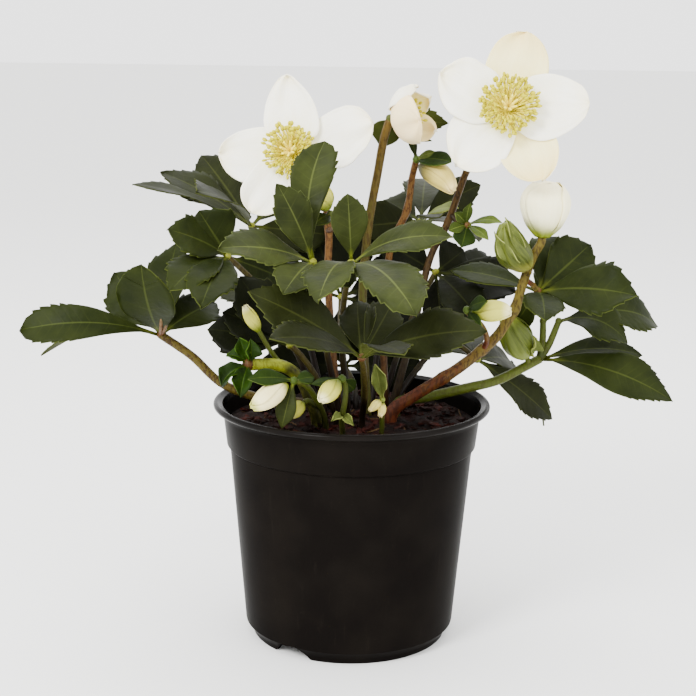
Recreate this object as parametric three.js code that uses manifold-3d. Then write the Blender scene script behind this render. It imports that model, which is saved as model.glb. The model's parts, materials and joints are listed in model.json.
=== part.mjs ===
// A hellebore (Christmas rose, Helleborus niger) in flower, in its 13 cm nursery pot.
//
// Millimetres, +Z up. The origin is on the pot's axis, at the level of the surface that the pot stands on.
// The plant's best side faces -Y; its widest spread of leaves is along X.
//
// The pot is a lathe body with foot notches and drain holes, the soil fills it, and every stem stands in a
// hole of its own in the soil. A hellebore has no trunk: compound leaves and flower stems rise from the crown
// in the soil. Each leaf is a stalk and a hand of toothed leaflets joined at a hub.
import * as THREE from 'three';
import { mergeVertices } from 'three/addons/utils/BufferGeometryUtils.js';
import Module from 'manifold-3d';

const wasm = await Module();
wasm.setup();

// ---------------------------------------------------------------- driving dimensions (mm)

const CLEARANCE = 0.3;          // gap between pieces that touch on the real plant
const SEED = 1307;

const POT = {
  segments: 32,
  height: 114,
  rimRadius: 65.6,
  rimDepth: 3.6,                // the rolled bead round the mouth
  collarTop: 60.8,              // outer radius just under the rim
  collarFoot: 59.2,             // outer radius at the collar's lower edge
  collarZ: 93.6,
  step: 1.4,                    // the collar stands out this far from the wall below it
  baseRadius: 50.2,             // where the tapering wall turns in to the foot
  baseZ: 6.4,
  footRadius: 46.6,
  footWidth: 2.7,
  footZ: 2.8,
  wall: 1.2,
  floorZ: 5.6,
  floor: 1.4,
};
const NOTCH = { count: 3, first: -34.5, width: 10.2, splay: 5.9, height: 6.1, corner: 1.5 };
const DRAIN = { radius: 3.5, at: 35, sides: 8 };

const SOIL = { segments: 16, top: 105, edge: 103.6, relief: 1.0, rootDepth: 12, hole: CLEARANCE };

const LEAF = {
  thickness: 0.8, hub: 2.6, root: 1.6, petiolule: 0.8, channel: 0.16, ripple: 0.03, fullest: 0.6,
  tooth: 1.06, notch: 0.9, petiole: 0.06, blunt: 0.7,
  longBlade: 54,                // a blade longer than this has three teeth a side, a shorter one two
};
const STALK = { radius: 1.6, taper: 0.85, sides: 5 };
const STEM = { radius: 1.9, taper: 0.85, sides: 6, stepLength: 17 };
const BRANCH_STEM = { radius: 3.1, taper: 0.66, sides: 6 };  // the thick branching stem at the right
const BRANCH = { radius: 1.3, sides: 5, stepLength: 8 };
const SPRIG = { radius: 1.7, knot: 2 };

const PETAL = { thickness: 0.8, layer: 1.3, hub: 4.6, back: 3.0 };
const STAMEN = { filament: 0.42, anther: 1.15, dome: 5 };

// ---------------------------------------------------------------- materials

const finish = (color, roughness) => new THREE.MeshStandardMaterial({
  color, roughness, metalness: 0, flatShading: true,
});
const MATERIALS = {
  pot: () => finish('#1e1c19', 0.45),
  soil: () => finish('#3a2518', 0.95),
  leaf: () => finish('#3c4a26', 0.5),
  young: () => finish('#7f9a3c', 0.5),
  stalk: () => finish('#7b6a33', 0.55),
  stem: () => finish('#8a5a3c', 0.55),
  petal: () => finish('#f3eedd', 0.6),
  bud: () => finish('#e9e4b4', 0.55),
  stamen: () => finish('#f0d92e', 0.6),
};

// ---------------------------------------------------------------- small tools

const vec = (p) => (p.isVector3 ? p.clone() : new THREE.Vector3(p[0], p[1], p[2]));
const lerp = THREE.MathUtils.lerp;
const rad = THREE.MathUtils.degToRad;

/** Unit vector from a bearing (degrees from +X towards +Y) and a pitch above the horizontal. */
function direction(bearing, pitch) {
  const level = Math.cos(rad(pitch));
  const [x, y] = [Math.cos(rad(bearing)), Math.sin(rad(bearing))];
  return new THREE.Vector3(level * x, level * y, Math.sin(rad(pitch)));
}

/** A repeatable random stream in 0..1. */
function stream(seed) {
  let state = seed >>> 0;
  return () => {
    state = (state + 0x6d2b79f5) >>> 0;
    let t = state;
    t = Math.imul(t ^ (t >>> 15), t | 1);
    t ^= t + Math.imul(t ^ (t >>> 7), t | 61);
    return ((t ^ (t >>> 14)) >>> 0) / 4294967296;
  };
}

function geometryFrom(points, triangles) {
  const geometry = new THREE.BufferGeometry();
  const numbers = points.flatMap((p) => [p.x, p.y, p.z]);
  geometry.setAttribute('position', new THREE.Float32BufferAttribute(numbers, 3));
  geometry.setIndex(triangles.flat());
  return geometry;
}

/** A closed geometry as a manifold-3d solid. */
function solid(geometry) {
  const bare = geometry.clone();
  bare.deleteAttribute('normal');
  bare.deleteAttribute('uv');
  const merged = mergeVertices(bare, 1e-4);
  return new wasm.Manifold(new wasm.Mesh({
    numProp: 3,
    vertProperties: new Float32Array(merged.attributes.position.array),
    triVerts: new Uint32Array(merged.index.array),
  }));
}

/** A manifold-3d solid back as a geometry. */
function geometryOf(body) {
  const mesh = body.getMesh();
  const geometry = new THREE.BufferGeometry();
  geometry.setAttribute('position', new THREE.BufferAttribute(new Float32Array(mesh.vertProperties), 3));
  geometry.setIndex(new THREE.BufferAttribute(new Uint32Array(mesh.triVerts), 1));
  geometry.computeVertexNormals();
  return geometry;
}

const join = (solids) => solids.reduce((all, next) => all.add(next));
const cut = (body, tools) => tools.reduce((rest, tool) => rest.subtract(tool), body);

/** A mesh from the union of closed geometries that grow into each other. */
function fused(name, material, geometries) {
  const mesh = new THREE.Mesh(geometryOf(join(geometries.map(solid))), material);
  mesh.name = name;
  return mesh;
}

/**
 * Gives a sheet of triangles a thickness. The lower face is the upper one moved by the same offsets, with the
 * same triangles, and a wall closes the border.
 */
function thicken(points, triangles, offsets) {
  const n = points.length;
  const upper = points.map((p, i) => p.clone().addScaledVector(offsets[i], 0.5));
  const lower = points.map((p, i) => p.clone().addScaledVector(offsets[i], -0.5));
  const faces = triangles.map((t) => [...t]);
  const directed = new Set();
  for (const [a, b, c] of triangles) {
    faces.push([a + n, c + n, b + n]);
    directed.add(`${a},${b}`).add(`${b},${c}`).add(`${c},${a}`);
  }
  for (const key of directed) {
    const [p, q] = key.split(',').map(Number);
    if (!directed.has(`${q},${p}`)) faces.push([q, p, p + n], [q, p + n, q + n]);
  }
  return geometryFrom([...upper, ...lower], faces);
}

/** A profile of [radius, height] turned about +Z. */
function lathe(profile, segments) {
  const geometry = new THREE.LatheGeometry(profile.map(([r, h]) => new THREE.Vector2(r, h)), segments);
  geometry.rotateX(Math.PI / 2);
  return geometry;
}

/** Triangles of a grid of rows x columns whose last row may be a single tip point. */
function gridTriangles(rows, columns, pointed) {
  const triangles = [];
  for (let i = 0; i + 1 < rows; i++) {
    for (let j = 0; j + 1 < columns; j++) {
      const a = i * columns + j;
      triangles.push([a, a + columns, a + columns + 1], [a, a + columns + 1, a + 1]);
    }
  }
  if (pointed) {
    const last = (rows - 1) * columns;
    for (let j = 0; j + 1 < columns; j++) triangles.push([last + j, last + columns, last + j + 1]);
  }
  return triangles;
}

/** A round or lobed bar along a smooth curve, closed at both ends. radiusAt(t, angle) gives its section. */
function sweep(path, radiusAt, sides, steps) {
  const curve = new THREE.CatmullRomCurve3(path.map(vec), false, 'centripetal');
  const frames = curve.computeFrenetFrames(steps, false);
  const points = [];
  const triangles = [];
  for (let i = 0; i <= steps; i++) {
    const t = i / steps;
    const centre = curve.getPointAt(t);
    for (let j = 0; j < sides; j++) {
      const angle = (2 * Math.PI * j) / sides;
      const radius = radiusAt(t, angle);
      points.push(centre.clone()
        .addScaledVector(frames.normals[i], radius * Math.cos(angle))
        .addScaledVector(frames.binormals[i], radius * Math.sin(angle)));
    }
  }
  for (let i = 0; i < steps; i++) {
    for (let j = 0; j < sides; j++) {
      const a = i * sides + j;
      const b = i * sides + ((j + 1) % sides);
      triangles.push([a, b, b + sides], [a, b + sides, a + sides]);
    }
  }
  const end = steps * sides;
  for (let j = 1; j + 1 < sides; j++) triangles.push([0, j + 1, j], [end, end + j, end + j + 1]);
  return geometryFrom(points, triangles);
}

function pathLength(path) {
  return path.slice(1).reduce((sum, p, i) => sum + vec(p).distanceTo(vec(path[i])), 0);
}

/** A small rounded body with few faces, used where blades or bracts grow together. */
function knot(centre, radius) {
  const geometry = new THREE.IcosahedronGeometry(radius, 0);
  geometry.rotateZ(0.3);
  geometry.rotateX(0.2);
  return geometry.translate(...vec(centre).toArray());
}

// ---------------------------------------------------------------- leaves

/** Stations [t, width factor] down a blade, with forward-pointing teeth in its outer part. */
function bladeStations(length, teeth) {
  if (!teeth) return [[0, 1], [0.42, 1], [0.78, 1]];
  const stations = teeth > 2 ? [[0, 1], [0.2, 1]] : [[0, 1]];
  const first = 0.4;
  for (let i = 0; i < teeth; i++) {
    const at = lerp(first, 0.88, teeth === 1 ? 0.5 : i / (teeth - 1));
    stations.push([at, LEAF.tooth], [at + 0.028, LEAF.notch]);
  }
  return stations;
}

/**
 * One blade from its root to its tip: a channelled, arched sheet with a rib down the middle, toothed edges
 * and a slight wave. Everything is measured from the chord, with the height along the facing direction.
 */
function blade(root, spec, options = {}) {
  const { teeth, petiole = LEAF.petiole, rng, sunk = LEAF.root, blunt = LEAF.blunt } = options;
  const [x, y, z, width, bearing, pitch, arch, rows] = spec;
  const start = vec(root);
  const along = new THREE.Vector3(x, y, z).sub(start).normalize();
  start.addScaledVector(along, sunk);
  const length = start.distanceTo(new THREE.Vector3(x, y, z));
  const face = direction(bearing, pitch);
  face.addScaledVector(along, -face.dot(along)).normalize();
  const across = face.clone().cross(along);
  const count = teeth ?? rows ?? (length > LEAF.longBlade ? 3 : 2);
  const random = rng ?? (() => 0.5);
  const power = Math.log(0.5) / Math.log(LEAF.fullest);
  const half = (t) => Math.max(
    width / 2 * Math.sin(Math.PI * Math.min(1, Math.max(0, (t - petiole) / (1 - petiole))) ** power) ** blunt,
    t < 0.5 ? LEAF.petiolule : 0,
  );
  const rise = (t) => (arch / 100) * length * 4 * t * (1 - t);
  const at = (t, side, lift) => start.clone()
    .addScaledVector(along, t * length)
    .addScaledVector(across, side)
    .addScaledVector(face, rise(t) + lift);
  const points = [];
  const stations = bladeStations(length, count);
  for (const [t, factor] of stations) {
    const h = half(t) * (t < 0.3 ? 1 : factor);
    for (const side of [-1, 0, 1]) {
      const wave = side === 0 || t < 0.15 ? 0 : (random() - 0.5) * 2 * LEAF.ripple * width;
      const slip = side === 0 || t < 0.3 || !count ? 0 : (random() - 0.5) * 0.02;
      points.push(at(t + slip, side * h, Math.abs(side) * LEAF.channel * h + wave));
    }
  }
  points.push(at(1, 0, 0));
  const offsets = points.map(() => face.clone().multiplyScalar(LEAF.thickness));
  return thicken(points, gridTriangles(stations.length, 3, true), offsets);
}

// Every leaf: its stalk's path from the crown to the hub, then its leaflets, each as
// [tip x, y, z, width, bearing and pitch of the side that it shows, arch as % of its length, teeth a side where
// that isn't left to its length].
const LEAVES = [
  {
    name: 'left_low',
    stalk: [[-16, -4, 111], [-39, -4, 114], [-61, -5, 122], [-75.5, -4, 135], [-90, -4, 145]],
    radius: 2.3,
    leaflets: [
      [-152, -22, 150, 19, -85, 35, 17],
      [-153, 25, 126, 9, 90, 80, 12, 1],
      [-94, -36, 182.5, 28, -100, 15, 8],
      [-113.5, 12, 171.5, 26, -105, 25, 6],
      [-85, 24, 184.5, 22, -105, 20, 6, 1],
      [-66.5, 24, 155.5, 22, -80, 50, 8, 1],
    ],
  },
  {
    name: 'left_high',
    stalk: [[-14, 14, 108], [-23, 22, 143], [-36, 30, 174], [-50, 34, 192]],
    leaflets: [
      [-103, 6, 215.5, 15, -90, 75, 5],
      [-95, 40, 217, 23, -90, 65, 6],
      [-77, 62, 223.5, 25, -85, 30, 6, 1],
      [-72, -12, 213, 28, -100, 45, 8],
      [-28, 66, 209, 21, -35, 60, 8, 1],
      [-12, 50, 186, 20, -90, 10, 6, 1],
    ],
  },
  {
    name: 'left_mid',
    stalk: [[-15, -8, 110], [-29, -8, 144], [-45, -8, 170], [-58, -8, 183]],
    leaflets: [
      [-83.8, -25, 197, 21, -100, 40, 8],
      [-70.5, -14, 204.5, 26, -95, 25, 6, 1],
      [-80, -46, 173, 22, -105, 35, 10],
      [-66, -54, 167, 22, -90, 30, 10],
      [-78, 44, 172, 22, -135, 75, 8, 1],
      [-34, 22, 168, 20, -90, 15, 6, 1],
    ],
  },
  {
    name: 'front_left',
    stalk: [[-6, -14, 111], [-12, -22, 143], [-16, -34, 168], [-18, -42, 186]],
    leaflets: [
      [-57, -66, 195, 23, -85, 55, 8],
      [-33, -52, 221, 21, -70, 20, 6],
      [-13.5, -30, 238, 19, -95, 15, 6],
      [-29, -76, 178, 19, -90, 35, 8],
      [-1, -66, 179, 19, -80, 60, 5],
    ],
  },
  {
    name: 'front_right',
    stalk: [[-2, -12, 111], [-5, -22, 147], [-4, -36, 168], [-1, -50, 187]],
    leaflets: [
      [-3, -54, 217.5, 19, -85, 15, 5],
      [42, -66, 200, 19, -90, 55, 14],
      [25.5, -100, 172, 26, -75, 50, 14],
      [-14, -100, 179, 21, -110, 50, 12],
    ],
  },
  {
    name: 'front_low',
    stalk: [[5, -20, 110], [6, -36, 127], [5, -50, 140], [4, -58, 147]],
    leaflets: [
      [-45, -72, 177, 24, -80, 40, 8],
      [-34, -104, 163, 21, -90, 55, 8],
      [56, -76, 163, 24, -95, 45, 10],
      [21, -104, 157, 19, -90, 85, 10],
      [18, -34, 168, 17, -75, 30, 5, 1],
      [2, -34, 168, 17, -105, 30, 5, 1],
    ],
  },
  {
    name: 'right_low',
    stalk: [[22, 2, 112], [35, 2, 115], [56, 3, 120], [69, 5, 123], [82, 8, 129], [90, 10, 133]],
    radius: 2.6,
    leaflets: [
      [151, -8, 117, 22, -80, 40, 14],
      [141, 20, 133.5, 16, -90, 65, 11],
    ],
    sprigs: [
      { path: [[90, 10, 133], [91, 11, 142], [91, 12, 151]], leaflets: [[100, 32, 182, 20, -90, 20, 6, 1]] },
      {
        path: [[90, 10, 133], [94, 11, 139.5], [98.5, 12, 151]],
        leaflets: [[130, 2, 143.5, 21, -85, 50, 26], [149, 26, 146.5, 21, -85, 45, 22]],
      },
    ],
  },
  {
    name: 'right_stem',
    stalk: null,
    hub: [86, -4, 168],
    leaflets: [
      [127.8, -26, 170.6, 28, -85, 40, 8],
      [111.5, 10, 188.5, 25, -75, 25, 6],
      [97, 16, 191.5, 24, -90, 20, 5, 1],
      [85, -40, 161, 19, -85, 30, 8],
      [46.5, 16, 174, 16, -95, 60, 6],
      [78, 14, 149, 13, -95, 15, 6, 1],
    ],
  },
  {
    name: 'right_back',
    stalk: [[22, 14, 110], [29, 20, 121], [42, 28, 134], [52, 34, 134], [62, 34, 127]],
    leaflets: [
      [102.5, 44, 94.5, 19, -75, 40, 4],
      [81, 60, 120, 19, -70, 50, 8, 1],
      [103, 76, 83, 17, -70, 55, 10, 1],
      [46, 70, 127, 19, -110, 70, 8, 1],
      [58, 90, 131, 19, -90, 65, 8, 1],
    ],
  },
  {
    name: 'mid_right',
    stalk: [[16, 20, 108], [23, 26, 133], [33, 30, 157], [40, 30, 171]],
    leaflets: [
      [78, 16, 164, 28, -80, 40, 8],
      [76, 50, 169.5, 23, -80, 50, 6, 1],
      [43, 18, 145, 17, -90, 20, 6],
      [60, 0, 153, 21, -85, 30, 8],
      [54, 37, 181, 20, -90, 15, 6, 1],
      [14, 32, 186, 22, -90, 10, 6, 1],
    ],
  },
  {
    name: 'high_back',
    stalk: [[10, 20, 109], [14, 34, 141], [23, 44, 172], [33, 46, 194]],
    leaflets: [
      [61.5, 40, 213, 19, -80, 40, 8],
      [13, 62, 202, 21, -100, 55, 6],
      [41, 20, 199.5, 15, -90, 60, 8],
      [37, 90, 210, 21, -90, 80, 10, 1],
      [66, 84, 180, 21, -45, 75, 10, 1],
      [4, 38, 192, 23, -90, 15, 6, 1],
    ],
  },
  {
    name: 'left_inner',
    whole: true,
    teeth: 1,
    stalk: [[-8, -10, 110], [-17, -12, 128], [-24, -13, 138], [-29, -14, 143]],
    leaflets: [
      [-67, -15, 149.5, 25, -90, 40, 8],
      [-60, -14, 158, 20, -95, 40, 8],
      [-52, -16, 175, 22, -90, 15, 6],
    ],
  },
  {
    name: 'back_left',
    whole: true,
    teeth: 1,
    stalk: [[-4, 16, 109], [-12, 34, 128], [-22, 50, 142], [-30, 60, 150]],
    leaflets: [
      [-70, 70, 152, 21, -120, 60, 8],
      [-50, 100, 150, 22, 110, 60, 8],
      [-18, 104, 156, 22, 80, 60, 8],
      [-2, 84, 166, 19, 60, 70, 8],
    ],
  },
  {
    name: 'mid_back',
    whole: true,
    teeth: 0,
    stalk: [[-2, 20, 108], [-4, 28, 125], [-6, 36, 143], [-6, 42, 156]],
    leaflets: [
      [-50, 54, 166, 24, -92, 10, 6],
      [-25, 60, 196, 24, -90, 12, 6],
      [2, 46, 198, 24, -90, 12, 6],
      [34, 54, 172, 24, -88, 12, 6],
      [32, 58, 146, 22, -88, 12, 6],
      [0, 45, 126, 22, -90, 12, 6],
    ],
  },
  {
    name: 'back_low',
    whole: true,
    teeth: 0,
    stalk: [[2, 22, 108], [1, 34, 113], [-2, 45, 117], [-4, 51, 119]],
    leaflets: [
      [-46, 36, 124, 22, -92, 12, 6],
      [36, 46, 121, 22, -88, 12, 6],
      [-22, 58, 140, 20, -95, 15, 6],
      [16, 58, 140, 20, -85, 15, 6],
    ],
  },
];

/** The closed parts of a leaf: its leaflets, the knot that they grow from, and any stalked sprigs. */
function leafGeometries(hub, { leaflets, sprigs = [], teeth }, rng) {
  const parts = [knot(hub, LEAF.hub), ...leaflets.map((spec) => blade(hub, spec, { teeth, rng }))];
  for (const { path, leaflets: blades } of sprigs) {
    const end = path[path.length - 1];
    parts.push(stemGeometry(path, SPRIG.radius, 0.9, BRANCH.sides, BRANCH.stepLength));
    parts.push(knot(end, SPRIG.knot), ...blades.map((spec) => blade(end, spec, { teeth, rng, sunk: 0.8 })));
  }
  return parts;
}

/** A path shortened at its end so that it stops short of what it carries. */
function shortened(path, by) {
  const points = path.map(vec);
  const last = points[points.length - 1];
  const back = points[points.length - 2].clone().sub(last).normalize();
  points[points.length - 1] = last.addScaledVector(back, by);
  return points;
}

/** A path with its root carried down into the soil. */
function rooted(path) {
  const [x, y] = path[0].isVector3 ? path[0].toArray() : path[0];
  return [[x * 0.94, y * 0.94, SOIL.top - SOIL.rootDepth], ...path];
}

/** A tapering stem along a path. */
function stemGeometry(path, radius, taper, sides, stepLength) {
  const steps = Math.max(3, Math.round(pathLength(path) / stepLength));
  return sweep(path, (t) => radius * lerp(1, taper, t), sides, steps);
}

// ---------------------------------------------------------------- flowers and buds

/**
 * A petal laid on a cup of revolution about +Z. profile(a) gives [radius, height] at arc length a, so that
 * petals of one cup in different layers never cut each other away from the centre.
 */
function petal(profile, spec) {
  const { angle, length, width, layer = 0, curl = 0, blunt = 0.6, fullest = 0.6, skew = 0, plain } = spec;
  const rows = plain ? [0.1, 0.4, 0.7, 0.9] : [0.08, 0.3, 0.52, 0.74, 0.91];
  const columns = plain ? [-1, 0, 1] : [-1, -0.55, 0, 0.55, 1];
  const power = Math.log(0.5) / Math.log(fullest);
  const half = (t) => Math.max(width / 2 * Math.sin(Math.PI * t ** power) ** blunt, t < 0.2 ? 3 : 0);
  const points = [];
  const offsets = [];
  const place = (t, side) => {
    const a = t * length;
    const [radius, height] = profile(a);
    const [nextRadius, nextHeight] = profile(a + 0.5);
    const settle = THREE.MathUtils.smoothstep(a, 3, 10);
    const turn = rad(angle) + side * half(t) / Math.max(radius, 3.2) + rad(skew) * t * t;
    const run = new THREE.Vector2(nextRadius - radius, nextHeight - height).normalize();
    const lift = settle * layer * PETAL.layer;
    const bend = curl * length * t ** 3;
    const r = radius - run.y * lift - run.y * bend;
    const h = height + run.x * lift + run.x * bend;
    points.push(new THREE.Vector3(r * Math.cos(turn), r * Math.sin(turn), h));
    offsets.push(new THREE.Vector3(-run.y * Math.cos(turn), -run.y * Math.sin(turn), run.x)
      .multiplyScalar(PETAL.thickness));
  };
  for (const t of rows) for (const side of columns) place(t, side);
  place(1, 0);
  return thicken(points, gridTriangles(rows.length, columns.length, true), offsets);
}

/** The stamens of one flower: bowed filaments with swollen anthers on a low dome, round a few carpels. */
function stamenGeometries(count, reach, spread, rng, carpels = 5) {
  const parts = [];
  parts.push(lathe([[0, 0], [STAMEN.dome, 0], [STAMEN.dome * 0.7, 1.8], [0, 2.4]], 8));
  for (let i = 0; i < count; i++) {
    const share = (i + 0.5) / count;
    const lean = lerp(14, spread, Math.sqrt(share)) + (rng() - 0.5) * 6;
    const turn = i * 137.508 + (rng() - 0.5) * 10;
    const out = new THREE.Vector3(Math.cos(rad(turn)), Math.sin(rad(turn)), 0);
    const foot = out.clone().multiplyScalar(lerp(1.5, 4.2, Math.sqrt(share)));
    foot.z = 0.7;
    const length = reach * lerp(0.82, 1.05, rng());
    const aim = out.clone().multiplyScalar(Math.sin(rad(lean)));
    aim.z = Math.cos(rad(lean));
    const top = foot.clone().addScaledVector(aim, length);
    const neck = foot.clone().addScaledVector(aim, length * 0.72);
    parts.push(stamen(foot, neck, top));
  }
  for (let i = 0; i < carpels; i++) {
    const turn = rad((360 * i) / carpels + 20);
    const foot = new THREE.Vector3(0.9 * Math.cos(turn), 0.9 * Math.sin(turn), 1.2);
    const top = new THREE.Vector3(2.2 * Math.cos(turn), 2.2 * Math.sin(turn), reach * 0.72);
    parts.push(sweep([foot, foot.clone().lerp(top, 0.5), top], (t) => lerp(0.9, 0.4, t), 3, 1));
  }
  return parts;
}

/** One stamen: a three-sided filament that widens into its anther. */
function stamen(foot, neck, top) {
  const along = top.clone().sub(foot).normalize();
  const side = new THREE.Vector3(0, 0, 1).cross(along);
  if (side.length() < 0.1) side.set(1, 0, 0);
  side.normalize();
  const other = along.clone().cross(side);
  const points = [];
  for (const [centre, radius] of [[foot, STAMEN.filament], [neck, STAMEN.anther], [top, 0.5]]) {
    for (let j = 0; j < 3; j++) {
      const angle = (2 * Math.PI * j) / 3;
      points.push(centre.clone()
        .addScaledVector(side, radius * Math.cos(angle))
        .addScaledVector(other, radius * Math.sin(angle)));
    }
  }
  const triangles = [];
  for (let i = 0; i < 2; i++) {
    for (let j = 0; j < 3; j++) {
      const a = i * 3 + j;
      const b = i * 3 + ((j + 1) % 3);
      triangles.push([a, b, b + 3], [a, b + 3, a + 3]);
    }
  }
  triangles.push([0, 2, 1], [6, 7, 8]);
  return geometryFrom(points, triangles);
}

/** A closed bud: a swollen bar whose section shows the lapped edges of its five petals, wound a little. */
function budGeometry(base, tip, radius, options = {}) {
  const { sides = 10, steps = 7, bow = [0, 0, 0], wind = 0.9, full = 0.52 } = options;
  const a = vec(base);
  const b = vec(tip);
  const middle = a.clone().lerp(b, 0.5).add(vec(bow));
  const power = Math.log(0.5) / Math.log(full);
  const section = (t, angle) => {
    const swell = Math.sin(Math.PI * (0.06 + 0.9 * t) ** power) ** 0.62;
    return Math.max(0.5, radius * swell * (1 - 0.07 * (0.5 + 0.5 * Math.cos(5 * angle + wind * 2 * t))));
  };
  return sweep([a, middle, b], section, sides, steps);
}

/** A flower's frame: +Z along the way that it faces, +Y as near up as that allows. */
function facing(group, centre, normal) {
  const z = vec(normal).normalize();
  const x = new THREE.Vector3(0, 0, 1).cross(z).normalize();
  const y = z.clone().cross(x);
  group.quaternion.setFromRotationMatrix(new THREE.Matrix4().makeBasis(x, y, z));
  group.position.set(...centre);
  return group;
}

/** The short thick disc behind the petals, where they meet the stem. */
function receptacle(depth = PETAL.back) {
  return lathe([[0, -depth], [2.2, -depth], [PETAL.hub, -0.6], [PETAL.hub * 0.9, 0.45], [0, 0.45]], 8);
}

const OPEN_CUP = (a) => [a, 0.0042 * a * a];
const HALF_CUP = (a) => [2.5 + 10.5 * Math.sin(Math.min(1.45, a / 11)), 0.2 * a + 0.022 * a * a];

// Each flower's seat is how far its stamens' dome stands in front of the receptacle's middle.
const FLOWERS = {
  a: {
    centre: [68, -12, 252], normal: [0, -0.95, 0.3], cup: OPEN_CUP, seat: 1.15, stamens: [16, 13, 62],
    petals: [
      { angle: 77, length: 35.5, width: 32, layer: -1 },
      { angle: 159, length: 35, width: 31, layer: 1, skew: -4 },
      { angle: 230, length: 36, width: 33, layer: 0, blunt: 0.5 },
      { angle: 294, length: 36.3, width: 31, layer: -1 },
      { angle: 363, length: 36.5, width: 30, layer: 0 },
    ],
    stem: [
      [20, 10, 108], [29, 14, 145], [37, 18, 181], [44, 16, 196], [52, 8, 222], [59, 4, 237], [66, -2, 247],
    ],
  },
  b: {
    centre: [-29, -8, 231], normal: [-0.12, -0.96, 0.25], cup: OPEN_CUP, seat: 1.15, stamens: [13, 13, 60],
    petals: [
      { angle: 94, length: 35, width: 27, layer: 1 },
      { angle: 183, length: 33, width: 26, layer: -1 },
      { angle: 240, length: 33, width: 26, layer: 0 },
      { angle: 312, length: 25, width: 22, layer: 1, curl: 0.2 },
      { angle: 380, length: 39, width: 28, layer: -1 },
    ],
    stem: [[-7, 2, 110], [-11, 4, 155], [-12, 5, 175], [-12, 6, 195], [-15, 8, 210], [-23, 2, 223]],
  },
  c: {
    centre: [20, -2, 247], normal: [0.72, -0.62, 0.12], cup: HALF_CUP, seat: 1.9, stamens: [5, 9, 34, 3],
    petals: [
      { angle: 192, length: 27, width: 31, layer: 0, blunt: 0.5 },
      { angle: 262, length: 19, width: 15, layer: 1, plain: true },
      { angle: 330, length: 18, width: 14, layer: -1, plain: true },
      { angle: 45, length: 20, width: 16, layer: 1, plain: true },
      { angle: 115, length: 22, width: 18, layer: -1, plain: true },
    ],
    stem: [[7, 6, 109], [4.5, 12, 160], [6.8, 10, 196], [10.8, 6, 222], [13.4, 3, 238]],
  },
};

// Buds: [base, tip, radius] and the knot of bracts below some of them, each bract as a leaflet without teeth.
const BUDS = {
  d: {
    base: [31, 6, 225], tip: [45.5, -6, 214.5], radius: 5.5, full: 0.44, knot: [28.6, 8, 227.4], bow: [1, 0, 1],
    bracts: [[44, -8, 227.4, 9.5, -90, 40, 6, 0, 0.02, 0.4], [25.4, 8, 239.5, 4, -90, 10, 4]],
  },
  h: { base: [86.3, -8, 194], tip: [88, -8, 219.5], radius: 12.6, full: 0.5, sides: 10, steps: 7 },
  i: {
    base: [79.2, -12.5, 180.2], tip: [68, -18, 201.5], radius: 7.8, bow: [-2.4, -0.6, -0.6], full: 0.42,
    sides: 10, steps: 6,
  },
  j: {
    base: [54, -25, 162.5], tip: [71, -30, 163], radius: 4.7, knot: [51.6, -24.4, 162.4],
    bracts: [[60, -33, 168, 8, -90, 40, 10], [58, -31, 156, 6, -90, -20, 10]],
  },
  k: { base: [83, 7, 134.6], tip: [72, 4, 154], radius: 7.7, full: 0.45, sides: 10, steps: 6 },
  mid: {
    base: [-12, -14, 206], tip: [-18, -16, 217], radius: 5.5, knot: [-10.8, -13.6, 203.8],
    bracts: [[-18, -24, 200, 10, -90, 50, 8]],
  },
  x1: {
    base: [-28.2, -42.8, 131.2], tip: [-44, -56, 123], radius: 5.4, knot: [-26, -41, 132.3],
    bracts: [
      [-46, -49, 136, 8, 90, 65, 8], [-31, -46, 112, 9, -90, 20, 10, 0, 0.5], [-17, -37, 133, 8, -90, 50, 6],
    ],
  },
  x2: { base: [-22, -33, 120], tip: [-28.5, -41, 116.2], radius: 3.6, sides: 6, steps: 4 },
  x3: {
    base: [-5.9, -46.3, 133.5], tip: [-14, -56, 127.8], radius: 4.9, knot: [-4.5, -44.5, 134.4],
    bracts: [[1, -38, 128, 7, -90, 20, 4], [-18, -42, 131, 4, -90, 40, 4]],
  },
};

// The side branches that carry buds or a leaf, from inside the stem that they grow on.
const STEM_D = [[16, 16, 108], [15, 20, 144], [18, 22, 185], [25, 20, 202], [27, 16, 218], BUDS.d.knot];
const STEM_H = [
  [19, -8, 110], [29, -8, 118], [50, -8, 132], [67, -8, 147], [72, -8, 155], [75, -8, 160], [78, -8, 171],
  [83, -8, 186],
];
const BRANCHES = {
  i: [[81, -8, 177.5], [81, -10.5, 178.5]],
  j: [[61, -8, 140.5], [62, -14, 147], [58.5, -20, 155], [53, -23, 160], BUDS.j.knot],
  leaf: [[79.5, -8, 174], [83, -6.5, 171.5], [86, -4, 168]],
  k: [[83.4, 8.3, 129.8], [83.6, 7.6, 132.6]],
  mid: [[-12, 5, 194], [-9, -6, 197], BUDS.mid.knot],
  shoot: [[46, 14, 201], [49, 11, 198], [53, 8, 197]],
  x2: [[-14.5, -28.5, 117]],
};

const YOUNG_SHOOT = {
  knot: [53, 8, 197],
  blades: [
    [54, 4, 208, 7, -90, 30, 6], [67, -4, 200, 8, -90, 50, 6], [61, -6, 192, 8, -90, 50, 6],
    [50, 0, 187.5, 12, -80, 30, 6],
  ],
};

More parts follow.
